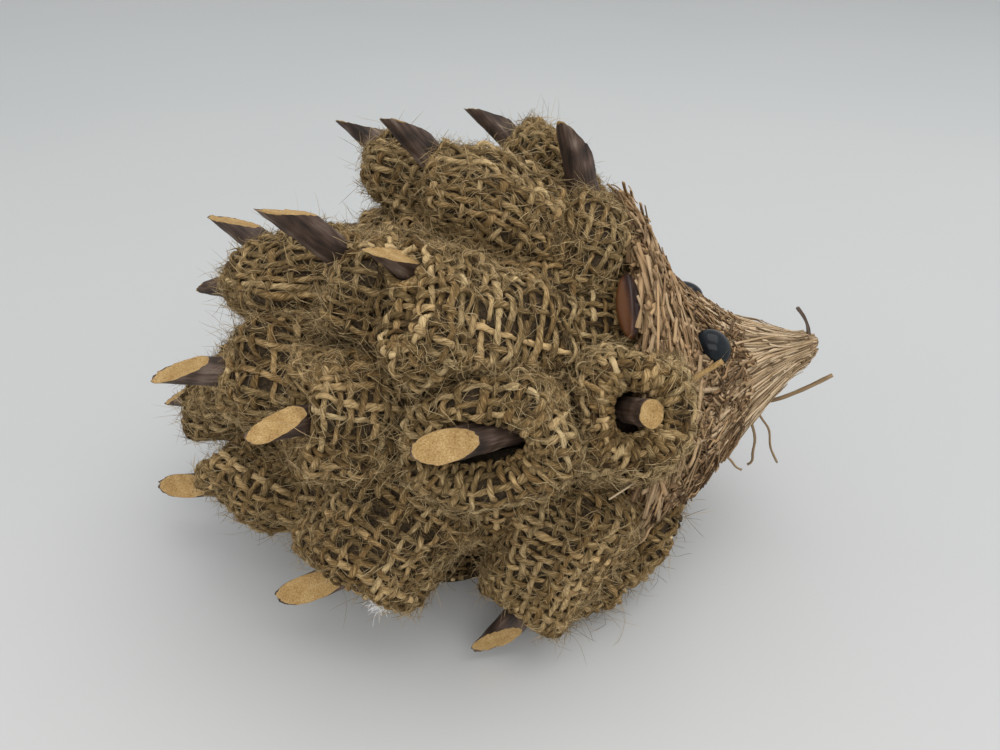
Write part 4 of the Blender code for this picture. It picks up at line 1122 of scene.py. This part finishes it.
strand(batch, ((48.0, -33, 43.0), (47.2, -34.5, 40.6), (49.2, -35.3, 39.2), (50.6, -34.0, 40.2)), 0.5, 1.0, (0.35, 1.0), warm=0.0, seed=17)
strays = batch.build("stray_straws", [STRAW, WOOD])

LINT = strand_material("lint", 40.0, (0.70, 0.69, 0.66), (0.82, 0.81, 0.79), (0.90, 0.89, 0.88), (1.0, 1.0, 1.0), bump_mm=0.0)
batch = Batch()
rng = np.random.default_rng(21)
centre = vec(-9.0, -45.0, 13.2)
P0 = centre + rng.normal(size=(620, 3)) * vec(0.85, 0.6, 0.95)
hairs(batch, P0, unit(P0 - centre), rng, 1.5, 0.06, 0.9, 2.8, stations=8, mat=0, light=0.9)
lint = batch.build("lint_tuft", [LINT])

# ---------------------------------------------------------------- eyes
def eye_material():
    mat, tree, bsdf = shader("black_bead", 0.17)
    bsdf.inputs["Specular IOR Level"].default_value = 0.16
    co = node(tree, "ShaderNodeTexCoord").outputs["Object"]
    n = noise(tree, co, 350.0, 3.0, 0.5)
    tree.links.new(ramp(tree, n, ((0.3, (0.006, 0.008, 0.010)), (0.75, (0.014, 0.018, 0.022)))), bsdf.inputs["Base Color"])
    return mat


EYE = eye_material()
for side, sign in (("right", -1), ("left", 1)):
    out = unit(vec(0.35, sign * 0.62, 0.75))
    at = vec(60.4, sign * 13.8, 55.8) - out * (0.5 if sign < 0 else 1.2)
    # the same turn as the CAD: the shortest one that takes +Y to the outward direction
    y = vec(0, 1, 0)
    axis = np.cross(y, out)
    c = y @ out
    K_ = np.array([[0, -axis[2], axis[1]], [axis[2], 0, -axis[0]], [-axis[1], axis[0], 0]])
    M = np.eye(3) + K_ + K_ @ K_ / (1 + c)
    th, la = np.meshgrid(TAU * np.arange(48) / 48, np.linspace(-math.pi / 2, math.pi / 2, 30))
    L = np.stack([np.cos(la) * np.cos(th), np.sin(la), np.cos(la) * np.sin(th)], -1)
    L[..., 1] = np.where(L[..., 1] < 0, L[..., 1] * 0.75, np.abs(L[..., 1]) ** 0.93)
    G = at + (L * vec(4.2, 3.0, 3.6)) @ M.T
    batch = Batch()
    sheet_mesh(batch, G, wrap=True)
    eye = batch.build("bead_eye_" + side, [EYE])
    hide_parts("eye_" + side)


# ---------------------------------------------------------------- ears
def ear_material():
    mat, tree, bsdf = shader("seed_pod", 0.28)
    bsdf.inputs["Coat Weight"].default_value = 0.1
    bsdf.inputs["Specular IOR Level"].default_value = 0.2
    bsdf.inputs["Coat Roughness"].default_value = 0.2
    bsdf.inputs["Subsurface Weight"].default_value = 0.15
    bsdf.inputs["Subsurface Scale"].default_value = 0.001
    co = node(tree, "ShaderNodeTexCoord").outputs["Object"]
    n = noise(tree, co, 500.0, 4.0, 0.6)
    t = tint_of(tree)
    tone = maths(tree, "ADD", t[0], maths(tree, "MULTIPLY_ADD", n, 0.35, -0.17))
    colour = ramp(tree, tone, ((0.22, (0.018, 0.009, 0.008)), (0.5, (0.034, 0.013, 0.008)), (0.9, (0.088, 0.032, 0.010))))
    tree.links.new(colour, bsdf.inputs["Base Color"])
    bump(tree, bsdf, n, 0.6, 0.0002)
    return mat


EAR = ear_material()
for side, sign in (("right", -1), ("left", 1)):
    at = vec(39.0, sign * 26.4, 71.7)
    ax, ay = math.radians(-37 * sign), math.radians(6)
    RX = np.array([[1, 0, 0], [0, math.cos(ax), -math.sin(ax)], [0, math.sin(ax), math.cos(ax)]])
    RY = np.array([[math.cos(ay), 0, math.sin(ay)], [0, 1, 0], [-math.sin(ay), 0, math.cos(ay)]])
    M = RX @ RY
    th, la = np.meshgrid(TAU * np.arange(40) / 40, np.linspace(-math.pi / 2, math.pi / 2, 33))
    L = np.stack([np.cos(la) * np.cos(th), np.sin(la), np.cos(la) * np.sin(th)], -1)
    # an almond with a keel down its outer face and drawn-out ends
    pinch = np.cos(la) ** 1.25 / np.maximum(np.cos(la), 1e-6)
    L[..., 0] *= pinch
    L[..., 2] = L[..., 2] * pinch * np.where(L[..., 2] > 0, 0.75 + 0.5 * np.exp(-((L[..., 0] / 0.22) ** 2)), 0.8)
    G = at + (L * vec(2.45, 6.9, 1.9)) @ M.T
    # painted light and shade: one half of the ear is painted lighter amber as if lit and shining through, the other
    # half dark as a hollow in shade, and it grows lighter towards one end
    tone = np.clip(0.40 - 0.7 * L[..., 0] / 0.5 - 0.35 * L[..., 1] * sign * -1, 0, 1)
    tint = np.stack([tone, 0 * tone, 0 * tone, 0 * tone + 1], -1)
    batch = Batch()
    sheet_mesh(batch, G, wrap=True, tint=tint.reshape(-1, 4))
    ear = batch.build("pod_ear_" + side, [EAR])
    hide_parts("ear_" + side)

# ---------------------------------------------------------------- stage
def floor_material():
    mat, tree, bsdf = shader("floor", 0.55)
    bsdf.inputs["Specular IOR Level"].default_value = 0.2
    co = node(tree, "ShaderNodeTexCoord").outputs["Object"]
    n = noise(tree, co, 3.0, 2.0, 0.5)
    base = ramp(tree, n, ((0.3, (0.492, 0.500, 0.502)), (0.7, (0.510, 0.515, 0.514))))
    split = node(tree, "ShaderNodeSeparateXYZ")
    tree.links.new(co, split.inputs[0])
    # painted light and shade: the floor is painted full bright in front of the object and about 7% darker from under it
    # backwards, the edge slanting with x
    painted_falloff = ramp(tree, maths(tree, "ADD", maths(tree, "MULTIPLY_ADD", split.outputs[1], 1.5, 0.12), maths(tree, "MULTIPLY", split.outputs[0], 0.25)), ((0.0, (1.0, 1.0, 1.0)), (0.12, (0.925, 0.932, 0.936)), (0.35, (0.925, 0.940, 0.942)), (0.9, (0.925, 0.947, 0.947))))
    tree.links.new(mix(tree, 1.0, base, painted_falloff, "MULTIPLY"), bsdf.inputs["Base Color"])
    return mat


floor = Batch()
sheet_mesh(floor, np.stack(np.meshgrid(np.linspace(-2500, 2500, 3), np.linspace(-2500, 2500, 3)) + [np.zeros((3, 3))], -1))
mesh_obj = floor.build("floor", [floor_material()])

world = bpy.data.worlds.new("studio")
world.use_nodes = True
world.node_tree.nodes["Background"].inputs[0].default_value = (0.985, 0.99, 1.0, 1.0)
world.node_tree.nodes["Background"].inputs[1].default_value = 0.84
bpy.context.scene.world = world


def softbox(name, at, to, size, watts, colour):
    data = bpy.data.lights.new(name, "AREA")
    data.shape = "RECTANGLE"
    data.size, data.size_y = size
    data.energy = watts
    data.color = colour
    obj = bpy.data.objects.new(name, data)
    d = unit(vec(*to) - vec(*at))
    obj.location = at
    yaw = math.atan2(d[1], d[0])
    pitch = math.acos(-d[2])
    obj.rotation_euler = (0, -pitch, yaw + math.pi) if False else (pitch, 0, yaw - math.pi / 2)
    bpy.context.scene.collection.objects.link(obj)
    return obj


softbox("key", (0.28, -0.02, 0.95), (0, 0, 0.03), (0.8, 0.8), 4.4, (1.0, 0.985, 0.95))
softbox("front", (0.10, -1.0, 0.80), (0, -0.03, 0.0), (1.1, 0.6), 5.6, (1.0, 0.975, 0.94))
